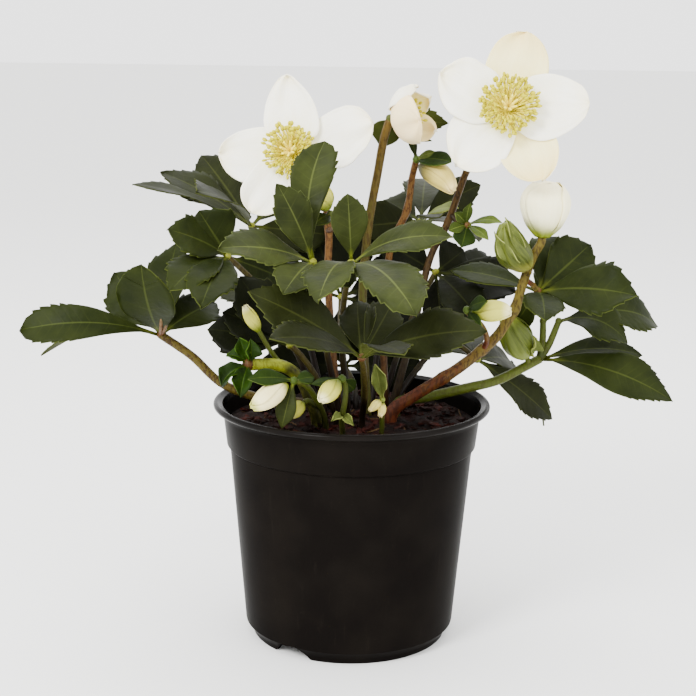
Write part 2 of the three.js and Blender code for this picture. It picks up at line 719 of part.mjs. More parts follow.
// Green shoots that rise from the crown beside the leaves: [stem, radius, knot, blades].
const WHORL = {
  stem: [[-16, -17, 108], [-20, -19, 120], [-25, -20.5, 130], [-33, -24, 135.5], [-47, -30, 137]],
  radius: 3,
  blades: [
    [-57, -30, 141, 7, -90, 50, 6], [-59, -34, 128, 9, -110, 30, 8], [-50, -39, 124, 10, -90, 30, 8],
    [-46, -31, 149, 8, -60, 20, 6], [-51, -28, 149, 7, -90, 20, 6],
  ],
};
const X1_STEM = [[-12, -22, 108], [-15, -30, 119], [-21, -39, 130], BUDS.x1.knot];
const X3_STEM = [[-4, -34, 107], [-4.3, -40, 115], [-3, -42, 124], [-3, -42.5, 131], BUDS.x3.knot];
const X4 = {
  stem: [[-13, -11.5, 108], [-22, -15, 122], [-32, -19, 134], [-38, -23, 143], [-42.6, -25.2, 151.6]],
  bud: [[-42.3, -25, 151], [-50, -28, 165.5], 3.5],
};
const X5 = {
  stem: [[14, -26, 107], [14, -27, 114], [14, -28, 121]],
  buds: [[[13.5, -28.5, 121.5], [7, -34, 117], 2.3], [[14.5, -28.5, 120], [12.5, -35, 113.5], 2.2]],
  blades: [[10.5, -31, 138, 7, -90, 20, 4]],
};
const C_BRACTS = {
  knot: [15.9, 1.6, 246.3],
  blades: [[12, 9, 232.5, 14, 90, 0, 26], [43.5, 12, 244, 12, 90, 0, 20], [36, 10, 236, 5, 90, -30, 20]],
};

// ---------------------------------------------------------------- pot and soil

function potProfile() {
  const { wall, step } = POT;
  const slope = (POT.collarFoot - step - POT.baseRadius) / (POT.collarZ - POT.baseZ);
  const lip = POT.height - POT.rimDepth;
  const outer = [
    [POT.footRadius - POT.footWidth, POT.floorZ],
    [POT.footRadius - POT.footWidth, 0],
    [POT.footRadius, 0],
    [POT.footRadius + 0.6, POT.footZ],
    [POT.baseRadius, POT.baseZ],
    [POT.baseRadius + slope * (POT.collarZ - 0.6 - POT.baseZ), POT.collarZ - 0.6],
    [POT.collarFoot, POT.collarZ],
    [POT.collarTop, lip - 3],
    [POT.rimRadius - 0.6, lip],
    [POT.rimRadius, lip + 1.6],
    [POT.rimRadius - 0.9, POT.height - 0.3],
    [POT.rimRadius - 2.4, POT.height],
  ];
  const inner = [
    [POT.rimRadius - 4.2, POT.height - 0.6],
    [POT.collarTop - 0.2, lip],
    [POT.collarTop - wall, lip - 4],
    [POT.collarFoot - wall, POT.collarZ + 0.8],
    [POT.collarFoot - wall - step, POT.collarZ - 1.2],
    [POT.baseRadius - wall, POT.baseZ + 1.6],
    [POT.footRadius - 0.9, POT.floorZ + POT.floor],
  ];
  return { outer, inner };
}

/** A splayed, rounded doorway through the foot ring, as an extruded shape turned to its place. */
function notchTool(degrees) {
  const { width, splay, height, corner } = NOTCH;
  const shape = new THREE.Shape();
  shape.moveTo(-width / 2 - splay, -1);
  shape.lineTo(width / 2 + splay, -1);
  shape.lineTo(width / 2, height - corner);
  shape.quadraticCurveTo(width / 2, height, width / 2 - corner, height);
  shape.lineTo(-width / 2 + corner, height);
  shape.quadraticCurveTo(-width / 2, height, -width / 2, height - corner);
  const tool = new THREE.ExtrudeGeometry(shape, { depth: 10, bevelEnabled: false, curveSegments: 2 });
  tool.rotateX(Math.PI / 2);
  tool.translate(0, -POT.footRadius + 5, 0);
  tool.rotateZ(rad(degrees));
  return tool;
}

function potBody() {
  const { outer, inner } = potProfile();
  const profile = [[0, POT.floorZ], ...outer, ...inner, [0, POT.floorZ + POT.floor]];
  const tools = [];
  for (let i = 0; i < NOTCH.count; i++) {
    const degrees = NOTCH.first + (360 / NOTCH.count) * i;
    tools.push(solid(notchTool(degrees)));
    const drain = new THREE.CylinderGeometry(DRAIN.radius, DRAIN.radius, 8, DRAIN.sides);
    drain.rotateX(Math.PI / 2);
    drain.translate(0, -DRAIN.at, POT.floorZ);
    drain.rotateZ(rad(degrees));
    tools.push(solid(drain));
  }
  return cut(solid(lathe(profile, POT.segments)), tools);
}

/** Height of the loose, lumpy top of the soil. */
function soilTop(x, y) {
  const lumps = Math.sin(0.23 * x + 1.3) * Math.cos(0.19 * y - 0.4)
    + 0.7 * Math.sin(0.31 * (x + y) + 2) * Math.cos(0.27 * x);
  return SOIL.top + SOIL.relief * lumps;
}

function soilBody(holes) {
  const { inner } = potProfile();
  const wall = inner.slice(4).reverse().map(([r, h]) => [r - CLEARANCE, h]);
  wall[0] = [wall[0][0], wall[0][1] + CLEARANCE];
  const slope = (POT.collarTop - POT.collarFoot) / (POT.height - POT.rimDepth - 5 - POT.collarZ);
  const edge = POT.collarFoot - POT.wall - CLEARANCE + slope * (SOIL.edge - POT.collarZ - 0.8);
  const profile = [[0, wall[0][1]], ...wall, [edge, SOIL.edge], [40, 0], [21, 0], [0, 0]];
  const geometry = lathe(profile, SOIL.segments);
  const position = geometry.attributes.position;
  const per = profile.length;
  for (let i = 0; i < position.count; i++) {
    if (i % per >= per - 3) position.setZ(i, soilTop(position.getX(i), position.getY(i)));
  }
  return cut(solid(geometry), holes);
}

// ---------------------------------------------------------------- the plant

const plant = new THREE.Group();
const random = stream(SEED);
const holes = [];

function mesh(name, material, body) {
  const piece = new THREE.Mesh(geometryOf(body), material);
  piece.name = name;
  return piece;
}

/** A stem and its side branches with its root in the soil, and the hole that it stands in. */
function rootedParts(path, radius, { taper = STEM.taper, sides = STEM.sides, branches = [] } = {}) {
  const full = rooted(path);
  const steps = Math.max(3, Math.round(pathLength(full) / STEM.stepLength));
  holes.push(solid(sweep(full, (t) => radius * lerp(1, taper, t) + SOIL.hole, sides, steps)));
  return [
    sweep(full, (t) => radius * lerp(1, taper, t), sides, steps),
    ...branches.map((branch) => stemGeometry(branch, BRANCH.radius, 0.9, BRANCH.sides, BRANCH.stepLength)),
  ];
}

/** A path led to a piece's base along the piece's own axis, so that their flat ends face each other. */
function ledTo(path, base, towards) {
  const aim = vec(towards).sub(vec(base)).normalize();
  return [...path, vec(base).addScaledVector(aim, -2.5), vec(base).addScaledVector(aim, -CLEARANCE)];
}

const toKnot = (path, radius = 2) => shortened(path, radius + CLEARANCE);
const bract = (seat, spec) => blade(seat, spec, {
  teeth: 0, sunk: 0.6, petiole: spec[8] ?? 0.02, rng: random, blunt: spec[9] ?? 0.8,
});

function addBud(key, material) {
  const { base, tip, radius, bow, full, sides = 8, steps = 5, knot: seat, bracts } = BUDS[key];
  plant.add(fused(`bud_${key}`, material, [budGeometry(base, tip, radius, { bow, full, sides, steps })]));
  return bracts && [knot(seat, 1.9), ...bracts.map((spec) => bract(seat, spec))];
}

// Leaves on stalks of their own, and the hidden ones whose stalk and blades are one green piece.
for (const leaf of LEAVES) {
  const hub = leaf.stalk ? leaf.stalk[leaf.stalk.length - 1] : leaf.hub;
  const blades = leafGeometries(hub, leaf, random);
  if (leaf.whole) blades.push(...rootedParts(leaf.stalk, STALK.radius, { sides: STALK.sides }));
  plant.add(fused(`leaf_${leaf.name}`, MATERIALS.leaf(), blades));
  if (!leaf.stalk || leaf.whole) continue;
  const branches = leaf.name === 'right_low' ? [ledTo(BRANCHES.k.slice(0, 1), BUDS.k.base, BUDS.k.tip)] : [];
  plant.add(fused(`stalk_${leaf.name}`, MATERIALS.stalk(), rootedParts(
    toKnot(leaf.stalk, LEAF.hub), leaf.radius ?? STALK.radius, { sides: STALK.sides, branches },
  )));
}

// The three flowers, each turned the way that it faces.
for (const [key, flower] of Object.entries(FLOWERS)) {
  const head = facing(new THREE.Group(), flower.centre, flower.normal);
  const petals = flower.petals.map((spec) => petal(flower.cup, spec));
  head.add(fused(`flower_${key}_petals`, MATERIALS.petal(), [receptacle(), ...petals]));
  const [count, reach, spread, carpels] = flower.stamens;
  const tuft = stamenGeometries(count, reach, spread, random, carpels);
  const stamens = fused(`flower_${key}_stamens`, MATERIALS.stamen(), tuft);
  stamens.position.z = flower.seat;
  head.add(stamens);
  plant.add(head);
}
const neck = ({ centre, normal }) => {
  const away = vec(normal).normalize();
  const back = vec(centre).addScaledVector(away, -PETAL.back);
  return [back, back.clone().add(away)];
};
plant.add(fused('stem_a', MATERIALS.stem(), rootedParts(
  ledTo(FLOWERS.a.stem, ...neck(FLOWERS.a)), STEM.radius, { branches: [toKnot(BRANCHES.shoot)] },
)));
plant.add(fused('stem_b', MATERIALS.stem(), rootedParts(
  ledTo(FLOWERS.b.stem, ...neck(FLOWERS.b)), STEM.radius, { branches: [toKnot(BRANCHES.mid)] },
)));
plant.add(fused('stem_c', MATERIALS.stem(), rootedParts(
  toKnot([...FLOWERS.c.stem, C_BRACTS.knot], LEAF.hub), 2.2, { taper: 0.9 },
)));
plant.add(fused('flower_c_bracts', MATERIALS.leaf(), [
  knot(C_BRACTS.knot, 2.1), ...C_BRACTS.blades.map((spec) => bract(C_BRACTS.knot, spec)),
]));

// Bud D, and the thick stem H with its buds.
plant.add(fused('stem_d', MATERIALS.stem(), rootedParts(toKnot(STEM_D), STEM.radius)));
plant.add(fused('bud_d_bracts', MATERIALS.young(), addBud('d', MATERIALS.bud())));
const stemH = ledTo(STEM_H, BUDS.h.base, BUDS.h.tip);
plant.add(fused('stem_h', MATERIALS.stem(), rootedParts(stemH, BRANCH_STEM.radius, {
  ...BRANCH_STEM,
  branches: [
    ledTo(BRANCHES.i.slice(0, 1), BUDS.i.base, BUDS.i.tip),
    toKnot(BRANCHES.j),
    toKnot(BRANCHES.leaf, LEAF.hub),
  ],
})));
addBud('h', MATERIALS.petal());
addBud('i', MATERIALS.young());
addBud('k', MATERIALS.young());
plant.add(fused('bud_j_bracts', MATERIALS.young(), addBud('j', MATERIALS.bud())));
plant.add(fused('bud_mid_bracts', MATERIALS.leaf(), addBud('mid', MATERIALS.bud())));
plant.add(fused('young_shoot', MATERIALS.young(), [
  knot(YOUNG_SHOOT.knot, 2.0), ...YOUNG_SHOOT.blades.map((spec) => bract(YOUNG_SHOOT.knot, spec)),
]));

// Low shoots and buds round the crown.
const whorlKnot = WHORL.stem[WHORL.stem.length - 1];
plant.add(fused('shoot_whorl', MATERIALS.young(), [
  ...rootedParts(WHORL.stem, WHORL.radius, { taper: 0.9 }), knot(whorlKnot, 3),
  ...WHORL.blades.map((spec) => bract(whorlKnot, spec)),
]));
addBud('x2', MATERIALS.bud());
plant.add(fused('shoot_x1', MATERIALS.young(), [
  ...rootedParts(X1_STEM, 1.5, { sides: 5, branches: [ledTo(BRANCHES.x2, BUDS.x2.base, BUDS.x2.tip)] }),
  ...addBud('x1', MATERIALS.petal()),
]));
plant.add(fused('shoot_x3', MATERIALS.young(), [
  ...rootedParts(X3_STEM, 1.4, { sides: 5 }), ...addBud('x3', MATERIALS.bud()),
]));
const [x4Base, x4Tip, x4Radius] = X4.bud;
plant.add(fused('shoot_x4', MATERIALS.bud(), [
  ...rootedParts(X4.stem, 1.3, { sides: 5 }), budGeometry(x4Base, x4Tip, x4Radius, { sides: 8, steps: 5 }),
]));
plant.add(fused('shoot_x5', MATERIALS.bud(), [
  ...rootedParts(X5.stem, 1.3, { sides: 5 }),
  ...X5.buds.map(([from, to, radius]) => budGeometry(from, to, radius, { sides: 6, steps: 4 })),
  ...X5.blades.map((spec) => bract(X5.stem[2], spec)),
]));

plant.add(mesh('pot', MATERIALS.pot(), potBody()));
plant.add(mesh('soil', MATERIALS.soil(), soilBody(holes)));

export default plant;
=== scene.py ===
"""Dresses the potted hellebore (Christmas rose, Helleborus niger).

Each CAD node is replaced, in its own place, by a finer piece: leathery leaflets with saw-toothed margins and
pale midribs, petals with folds, stamens with anthers, lapped buds, speckled stems, a moulded pot, loose soil.

Lengths are millimetres until a mesh is raised, which turns them to metres. The origin is on the pot's axis,
on the surface that it stands on, with +Z up. The plant's best side faces -Y.
"""
from __future__ import annotations

import json
import logging
import math
import random
import sys
from collections.abc import Callable, Iterable, Mapping, Sequence
from dataclasses import dataclass, field, replace
from enum import Enum
from typing import NamedTuple

import bpy
from mathutils import Matrix, Vector, kdtree, noise

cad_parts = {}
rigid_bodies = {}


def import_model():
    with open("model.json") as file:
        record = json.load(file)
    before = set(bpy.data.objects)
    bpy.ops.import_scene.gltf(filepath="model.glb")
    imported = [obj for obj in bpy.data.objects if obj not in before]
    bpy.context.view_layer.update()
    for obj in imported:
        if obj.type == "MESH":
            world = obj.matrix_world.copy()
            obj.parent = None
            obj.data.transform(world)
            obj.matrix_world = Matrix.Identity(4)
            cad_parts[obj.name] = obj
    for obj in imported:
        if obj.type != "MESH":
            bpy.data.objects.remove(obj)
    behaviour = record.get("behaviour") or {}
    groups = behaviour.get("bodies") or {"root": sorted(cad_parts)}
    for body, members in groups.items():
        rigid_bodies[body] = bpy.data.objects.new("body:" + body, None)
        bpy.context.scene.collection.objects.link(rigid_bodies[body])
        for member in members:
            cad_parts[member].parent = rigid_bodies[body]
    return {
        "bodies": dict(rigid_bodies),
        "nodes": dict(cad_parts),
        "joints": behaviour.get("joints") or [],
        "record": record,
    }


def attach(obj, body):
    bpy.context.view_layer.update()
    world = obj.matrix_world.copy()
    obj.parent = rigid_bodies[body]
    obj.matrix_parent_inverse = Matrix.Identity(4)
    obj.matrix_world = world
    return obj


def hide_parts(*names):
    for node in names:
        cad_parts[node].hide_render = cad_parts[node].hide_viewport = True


LOG = logging.getLogger("hellebore")
MM = 0.001
SEED = 1307
PHASE = 6.28  # a turn in radians, near enough for a random phase
GOLDEN_ANGLE = 137.508

Piece = bpy.types.Object
Material = bpy.types.Material
Triple = tuple[float, float, float]
Route = tuple[Triple, ...]
Colour = tuple[float, float, float, float]
Socket = bpy.types.NodeSocket
Value = float | Sequence[float] | Socket
# Settings of nodes. A colour mix has its colours on sockets 6 and 7 and gives its third output.
BLEND = {"out": 2, "data_type": "RGBA"}
EASED = {"interpolation_type": "SMOOTHSTEP"}
TIMES_PLUS = {"operation": "MULTIPLY_ADD"}


# --- colours and node trees


def linear(code: str) -> Colour:
    """Turns an sRGB hex colour to linear.

    Args:
        code: The colour as "#rrggbb".

    Returns:
        Linear red, green, blue and an alpha of 1.
    """
    parts = [int(code[i : i + 2], 16) / 255 for i in (1, 3, 5)]
    red, green, blue = (c / 12.92 if c <= 0.04045 else ((c + 0.055) / 1.055) ** 2.4 for c in parts)
    return (red, green, blue, 1.0)


def per_mm(size: float) -> float:
    """The texture scale, on coordinates in metres, that makes one cell about size mm."""
    return 1.0 / (size * MM)


class Graph:
    """The node tree of one material."""

    def __init__(self, name: str) -> None:
        """Starts an empty tree.

        Args:
            name: The material's name.
        """
        self.material = bpy.data.materials.new(name)
        self.material.use_nodes = True
        self.tree = self.material.node_tree
        self.tree.nodes.clear()

    def add(
        self,
        kind: str,
        inputs: Mapping[int | str, Value] | None = None,
        out: int | str = 0,
        **settings: object,
    ) -> Socket:
        """Adds a node with its settings, values and links.

        Args:
            kind: The node's type without "ShaderNode".
            inputs: A value or a socket for each input that is set.
            out: The output that is used.
            **settings: The node's own properties.

        Returns:
            The output socket named by out.
        """
        node = self.tree.nodes.new(f"ShaderNode{kind}")
        for name, value in settings.items():
            setattr(node, name, value)
        for key, value in (inputs or {}).items():
            if isinstance(value, Socket):
                self.tree.links.new(value, node.inputs[key])
            else:
                node.inputs[key].default_value = value
        return node.outputs[out]

    def close(self, surface: Socket) -> Material:
        """Ends the tree in a surface and returns the material."""
        output = self.tree.nodes.new("ShaderNodeOutputMaterial")
        self.tree.links.new(surface, output.inputs["Surface"])
        return self.material


_MADE: dict[object, Material] = {}


@dataclass(frozen=True)
class Finish:
    """A real surface, made into a material once."""

    name: str

    def material(self) -> Material:
        """The finish's material, made on first use."""
        if self not in _MADE:
            _MADE[self] = self.build(Graph(self.name))
        return _MADE[self]

    def build(self, graph: Graph) -> Material:
        """Builds the node tree; each finish has its own."""
        raise NotImplementedError


@dataclass(frozen=True)
class LeafSkin(Finish):
    """A leathery leaf surface: waxy cuticle, pale midrib and foot, faint side veins and a thin pale margin.

    The mesh carries side (0 on the midrib, 1 on the margin), vein (a whole number on each side vein) and
    along (0 at the foot, 1 at the tip).
    """

    green: str
    light: str
    vein: str
    margin: str
    foot: str
    roughness: float = 0.46
    relief: float = 0.22
    raised: bool = False
    veined: float = 0.13
    foot_end: float = 0.22

    def build(self, graph: Graph) -> Material:
        """Builds the veins, the mottled green and the cuticle.

        Args:
            graph: The empty tree.

        Returns:
            The finished material.
        """
        add = graph.add
        place = add("TexCoord", out="Object")
        side = add("Math", {0: add("Attribute", out="Fac", attribute_name="side")}, operation="ABSOLUTE")
        along = add("Attribute", out="Fac", attribute_name="along")
        phase = add("Attribute", out="Fac", attribute_name="vein")
        off = add("Math", {0: phase, 1: 0.5}, operation="PINGPONG")
        rib = add("MapRange", {0: side, 1: 0.02, 2: 0.06, 3: 1.0, 4: 0.0}, **EASED)
        vein = add("MapRange", {0: off, 1: 0.0, 2: 0.075, 3: 1.0, 4: 0.0}, **EASED)
        fade = add("MapRange", {0: side, 1: 0.05, 2: 0.85, 3: 1.0, 4: 0.1})
        vein = add("Math", {0: vein, 1: fade}, operation="MULTIPLY")
        patch = add("TexNoise", {"Vector": place, "Scale": per_mm(14), "Detail": 4.0, "Roughness": 0.55})
        # The skin between the veins dips and rises over some 5 mm, with a grain under a millimetre.
        hammered = add("TexNoise", {"Vector": place, "Scale": per_mm(5), "Detail": 2.0})
        grain = add("TexNoise", {"Vector": place, "Scale": per_mm(0.9), "Detail": 2.0})
        mottle = add("MapRange", {0: patch, 1: 0.36, 2: 0.66, 3: 0.0, 4: 1.0})
        veins = add("Math", {0: vein, 1: self.veined}, operation="MULTIPLY")
        ribs = add("Math", {0: rib, 1: 0.5}, operation="MULTIPLY")
        foot_reach = add("Math", {0: side, 1: 0.1, 2: along}, **TIMES_PLUS)
        foot = add("MapRange", {0: foot_reach, 1: 0.05, 2: self.foot_end, 3: 0.75, 4: 0.0}, **EASED)
        rim = add("MapRange", {0: side, 1: 0.965, 2: 1.0, 3: 0.0, 4: 0.35}, **EASED)
        layers = ((mottle, self.light), (veins, self.vein), (ribs, self.vein), (foot, self.foot))
        colour = linear(self.green)
        for mask, code in (*layers, (rim, self.margin)):
            colour = add("Mix", {0: mask, 6: colour, 7: linear(code)}, **BLEND)
        rough = add("MapRange", {0: patch, 1: 0.3, 2: 0.7, 3: self.roughness - 0.05, 4: self.roughness + 0.1})
        swell = add("MapRange", {0: off, 1: 0.0, 2: 0.45, 3: 0.0, 4: 0.28}, **EASED)
        swell = add("Math", {0: swell, 1: side}, operation="MULTIPLY")
        lines = add("Math", {0: vein, 1: rib}, operation="MAXIMUM")
        lines = add("Math", {0: lines, 1: 0.5 if self.raised else -0.12}, operation="MULTIPLY")
        height = add("Math", {0: hammered, 1: 3.0, 2: swell}, **TIMES_PLUS)
        height = add("Math", {0: grain, 1: 0.12, 2: height}, **TIMES_PLUS)
        height = add("Math", {0: height, 1: lines}, operation="ADD")
        bump = add("Bump", {"Height": height, "Strength": 0.5, "Distance": self.relief * MM})
        # Leaf wax that is worn dull: a broad low sheen, and a green that stays dark in full light.
        return graph.close(add("BsdfPrincipled", {
            "Base Color": colour,
            "Roughness": rough,
            "Normal": bump,
            "IOR": 1.45,
            "Specular IOR Level": 0.06,
        }))


@dataclass(frozen=True)
class PetalSkin(Finish):
    """A waxy sepal, white to cream, with faint lengthwise veins and a greener throat.

    The mesh carries side (-1 to 1 across) and along (0 at the root, 1 at the tip).
    """

    white: str
    shade: str
    throat: str
    tip: str
    throat_end: float = 0.3
    tip_start: float = 0.75
    tip_share: float = 0.8
    scatter: float = 0.12
    roughness: float = 0.5
    vein_share: float = 0.35

    def build(self, graph: Graph) -> Material:
        """Builds the veins, the throat and tip colours and the soft skin.

        Args:
            graph: The empty tree.

        Returns:
            The finished material.
        """
        add = graph.add
        place = add("TexCoord", out="Object")
        side = add("Attribute", out="Fac", attribute_name="side")
        along = add("Attribute", out="Fac", attribute_name="along")
        across = add("Math", {0: side, 1: 9.0}, operation="MULTIPLY")
        lengthwise = add("Math", {0: along, 1: 1.6}, operation="MULTIPLY")
        drawn = add("CombineXYZ", {0: across, 1: lengthwise})
        lines = add("TexNoise", {"Vector": drawn, "Scale": 1.0, "Detail": 3.0})
        cloud = add("TexNoise", {"Vector": place, "Scale": per_mm(13), "Detail": 3.0})
        fine = add("TexNoise", {"Vector": place, "Scale": per_mm(0.8), "Detail": 2.0})
        veined = add("MapRange", {0: lines, 1: 0.42, 2: 0.66, 3: 0.0, 4: self.vein_share})
        patch = add("MapRange", {0: cloud, 1: 0.4, 2: 0.7, 3: 0.0, 4: 0.4})
        wander = add("Math", {0: cloud, 1: 0.3, 2: along}, **TIMES_PLUS)
        throat = add("MapRange", {0: wander, 1: 0.2, 2: self.throat_end + 0.15, 3: 1.0, 4: 0.0}, **EASED)
        tip = add("MapRange", {0: along, 1: self.tip_start, 2: 1.0, 3: 0.0, 4: self.tip_share}, **EASED)
        layers = ((veined, self.shade), (patch, self.shade), (throat, self.throat), (tip, self.tip))
        colour = linear(self.white)
        for mask, code in layers:
            colour = add("Mix", {0: mask, 6: colour, 7: linear(code)}, **BLEND)
        height = add("Math", {0: fine, 1: 0.2, 2: lines}, **TIMES_PLUS)
        bump = add("Bump", {"Height": height, "Strength": 0.4, "Distance": 0.3 * MM})
        # Light sinks into the fleshy sepal and comes out again near by, so folds look soft and milky.
        return graph.close(add("BsdfPrincipled", {
            "Base Color": colour,
            "Roughness": self.roughness,
            "Normal": bump,
            "IOR": 1.42,
            "Specular IOR Level": 0.3,
            "Subsurface Weight": self.scatter,
            "Subsurface Radius": (0.0022, 0.0018, 0.001),
            "Subsurface Scale": 1.0,
        }))


@dataclass(frozen=True)
class StemSkin(Finish):
    """A fleshy stem's skin: one colour at the foot, another at the top, with short reddish flecks along it.

    The mesh carries along (0 at the foot, 1 at the top).
    """

    foot: str
    top: str
    fleck: str
    flecked: float = 0.55
    turn: tuple[float, float] = (0.2, 0.85)

    def build(self, graph: Graph) -> Material:
        """Builds the two colours, the flecks and the lengthwise grain.

        Args:
            graph: The empty tree.

        Returns:
            The finished material.
        """
        add = graph.add
        place = add("TexCoord", out="Object")
        along = add("Attribute", out="Fac", attribute_name="along")
        stretched = add("Mapping", {"Vector": place, "Scale": (1.0, 1.0, 0.4)})
        flecks = add(
            "TexNoise", {"Vector": stretched, "Scale": per_mm(1.3), "Detail": 3.0, "Roughness": 0.65}
        )
        patch = add("TexNoise", {"Vector": stretched, "Scale": per_mm(4.5), "Detail": 2.0})
        wander = add("Math", {0: patch, 1: 0.5, 2: along}, **TIMES_PLUS)
        rise = add("MapRange", {0: wander, 1: self.turn[0] + 0.25, 2: self.turn[1] + 0.25, 3: 0.0, 4: 1.0})
        colour = add("Mix", {0: rise, 6: linear(self.foot), 7: linear(self.top)}, **BLEND)
        mask = add("MapRange", {0: flecks, 1: 0.49, 2: 0.57, 3: 0.0, 4: self.flecked})
        colour = add("Mix", {0: mask, 6: colour, 7: linear(self.fleck)}, **BLEND)
        height = add("Math", {0: patch, 1: 0.6, 2: flecks}, **TIMES_PLUS)
        bump = add("Bump", {"Height": height, "Strength": 0.6, "Distance": 0.3 * MM})
        rough = add("MapRange", {0: flecks, 1: 0.3, 2: 0.7, 3: 0.38, 4: 0.55})
        # Taut watery skin: a narrow highlight along the stem that the flecks break up.
        return graph.close(add("BsdfPrincipled", {
            "Base Color": colour,
            "Roughness": rough,
            "Normal": bump,
            "IOR": 1.45,
            "Specular IOR Level": 0.14,
        }))


@dataclass(frozen=True)
class Pollen(Finish):
    """Anthers and filaments: a powdery yellow that varies from grain to grain."""

    yellow: str
    pale: str
    grain: float = 1.6

    def build(self, graph: Graph) -> Material:
        """Builds the varied yellow with its powdery bump.

        Args:
            graph: The empty tree.

        Returns:
            The finished material.
        """
        add = graph.add
        place = add("TexCoord", out="Object")
        spread = add("TexNoise", {"Vector": place, "Scale": per_mm(self.grain), "Detail": 2.0})
        powder = add("TexNoise", {"Vector": place, "Scale": per_mm(0.25), "Detail": 2.0})
        share = add("MapRange", {0: spread, 1: 0.35, 2: 0.65, 3: 0.0, 4: 1.0})
        colour = add("Mix", {0: share, 6: linear(self.yellow), 7: linear(self.pale)}, **BLEND)
        # Pollen is a matt powder, with no highlight of its own. Its grains are drawn 0.25 mm wide, coarser
        # than the real 0.04 mm, so that they show.
        bump = add("Bump", {"Height": powder, "Strength": 0.6, "Distance": 0.1 * MM})
        return graph.close(add("BsdfPrincipled", {
            "Base Color": colour,
            "Roughness": 0.75,
            "Normal": bump,
            "Specular IOR Level": 0.2,
        }))


@dataclass(frozen=True)
class MouldedPolypropylene(Finish):
    """Recycled black polypropylene, injection moulded: low sheen, a faint pebble and a little dry dust."""

    black: str = "#0b0908"
    dust: str = "#2b2620"
    gloss: float = 0.005
    sheen: float = 0.3

    def build(self, graph: Graph) -> Material:
        """Builds the near-black plastic, its flow marks and dust.

        Args:
            graph: The empty tree.

        Returns:
            The finished material.
        """
        add = graph.add
        place = add("TexCoord", out="Object")
        # Moulding leaves a pebble about 0.9 mm across and soft sink marks some 25 mm wide.
        pebble = add("TexNoise", {"Vector": place, "Scale": per_mm(0.9), "Detail": 3.0})
        sink = add("TexNoise", {"Vector": place, "Scale": per_mm(26), "Detail": 2.0})
        drawn = add("Mapping", {"Vector": place, "Scale": (1.0, 1.0, 0.08)})
        scuff = add("TexNoise", {"Vector": drawn, "Scale": per_mm(2.2), "Detail": 4.0, "Roughness": 0.7})
        speck = add("TexNoise", {"Vector": place, "Scale": per_mm(3.2), "Detail": 5.0, "Roughness": 0.75})
        film = add("MapRange", {0: sink, 1: 0.4, 2: 0.75, 3: 0.02, 4: 0.12})
        marks = add("MapRange", {0: scuff, 1: 0.6, 2: 0.78, 3: 0.0, 4: 0.12})
        specks = add("MapRange", {0: speck, 1: 0.66, 2: 0.76, 3: 0.0, 4: 0.3})
        dusty = add("Math", {0: film, 1: marks}, operation="ADD")
        dusty = add("Math", {0: dusty, 1: specks}, operation="ADD", use_clamp=True)
        colour = add("Mix", {0: dusty, 6: linear(self.black), 7: linear(self.dust)}, **BLEND)
        rough = add("MapRange", {0: dusty, 1: 0.0, 2: 0.4, 3: self.sheen, 4: self.sheen + 0.2})
        height = add("Math", {0: sink, 1: 6.0, 2: pebble}, **TIMES_PLUS)
        bump = add("Bump", {"Height": height, "Strength": 0.3, "Distance": 0.1 * MM})
        # Polypropylene's IOR is 1.49. Carbon black swallows the light, and the eye gets a grey, soft edge.
        return graph.close(add("BsdfPrincipled", {
            "Base Color": colour,
            "Roughness": rough,
            "Normal": bump,
            "IOR": 1.49,
            "Specular IOR Level": self.gloss,
        }))


@dataclass(frozen=True)
class PeatMix(Finish):
    """Damp peat and bark compost: crumbs of near-black to red-brown, rough all over; the default browns add
    painted shade.
    """

    # Painted shade: these default browns, used by the peat, are about half as bright as the peat's own
    # colour, for the shadow that the leaves cast on the soil.
    dark: str = "#060201"
    brown: str = "#120602"
    red: str = "#220a05"
    crumb: float = 2.2

    def build(self, graph: Graph) -> Material:
        """Builds crumbs in three browns with a coarse bump.

        Args:
            graph: The empty tree.

        Returns:
            The finished material.
        """
        add = graph.add
        place = add("TexCoord", out="Object")
        cells = add("TexVoronoi", {"Vector": place, "Scale": per_mm(self.crumb)}, out="Color")
        pick = add("SeparateColor", {0: cells})
        spread = add("TexNoise", {"Vector": place, "Scale": per_mm(9), "Detail": 4.0})
        crumbs = add("TexNoise", {"Vector": place, "Scale": per_mm(1.1), "Detail": 5.0, "Roughness": 0.7})
        colour = add("Mix", {0: pick, 6: linear(self.dark), 7: linear(self.brown)}, **BLEND)
        ruddy = add("MapRange", {0: spread, 1: 0.42, 2: 0.66, 3: 0.0, 4: 0.8})
        colour = add("Mix", {0: ruddy, 6: colour, 7: linear(self.red)}, **BLEND)
        # Crumbs of about a millimetre throw their own small shadows, which makes the peat look damp and deep.
        bump = add("Bump", {"Height": crumbs, "Strength": 1.0, "Distance": 0.9 * MM})
        return graph.close(add("BsdfPrincipled", {
            "Base Color": colour,
            "Roughness": 0.75,
            "Normal": bump,
            "Specular IOR Level": 0.08,
        }))


@dataclass(frozen=True)
class StudioPaper(Finish):
    """The pale studio floor: matt white paper."""

    white: str = "#eaeae8"

    def build(self, graph: Graph) -> Material:
        """Builds a matt white with a trace of tooth."""
        tooth = graph.add("TexNoise", {"Vector": graph.add("TexCoord", out="Object"), "Scale": per_mm(2)})
        bump = graph.add("Bump", {"Height": tooth, "Strength": 0.05, "Distance": 0.1 * MM})
        paper = {"Base Color": linear(self.white), "Roughness": 0.9, "Normal": bump}
        return graph.close(graph.add("BsdfPrincipled", paper))


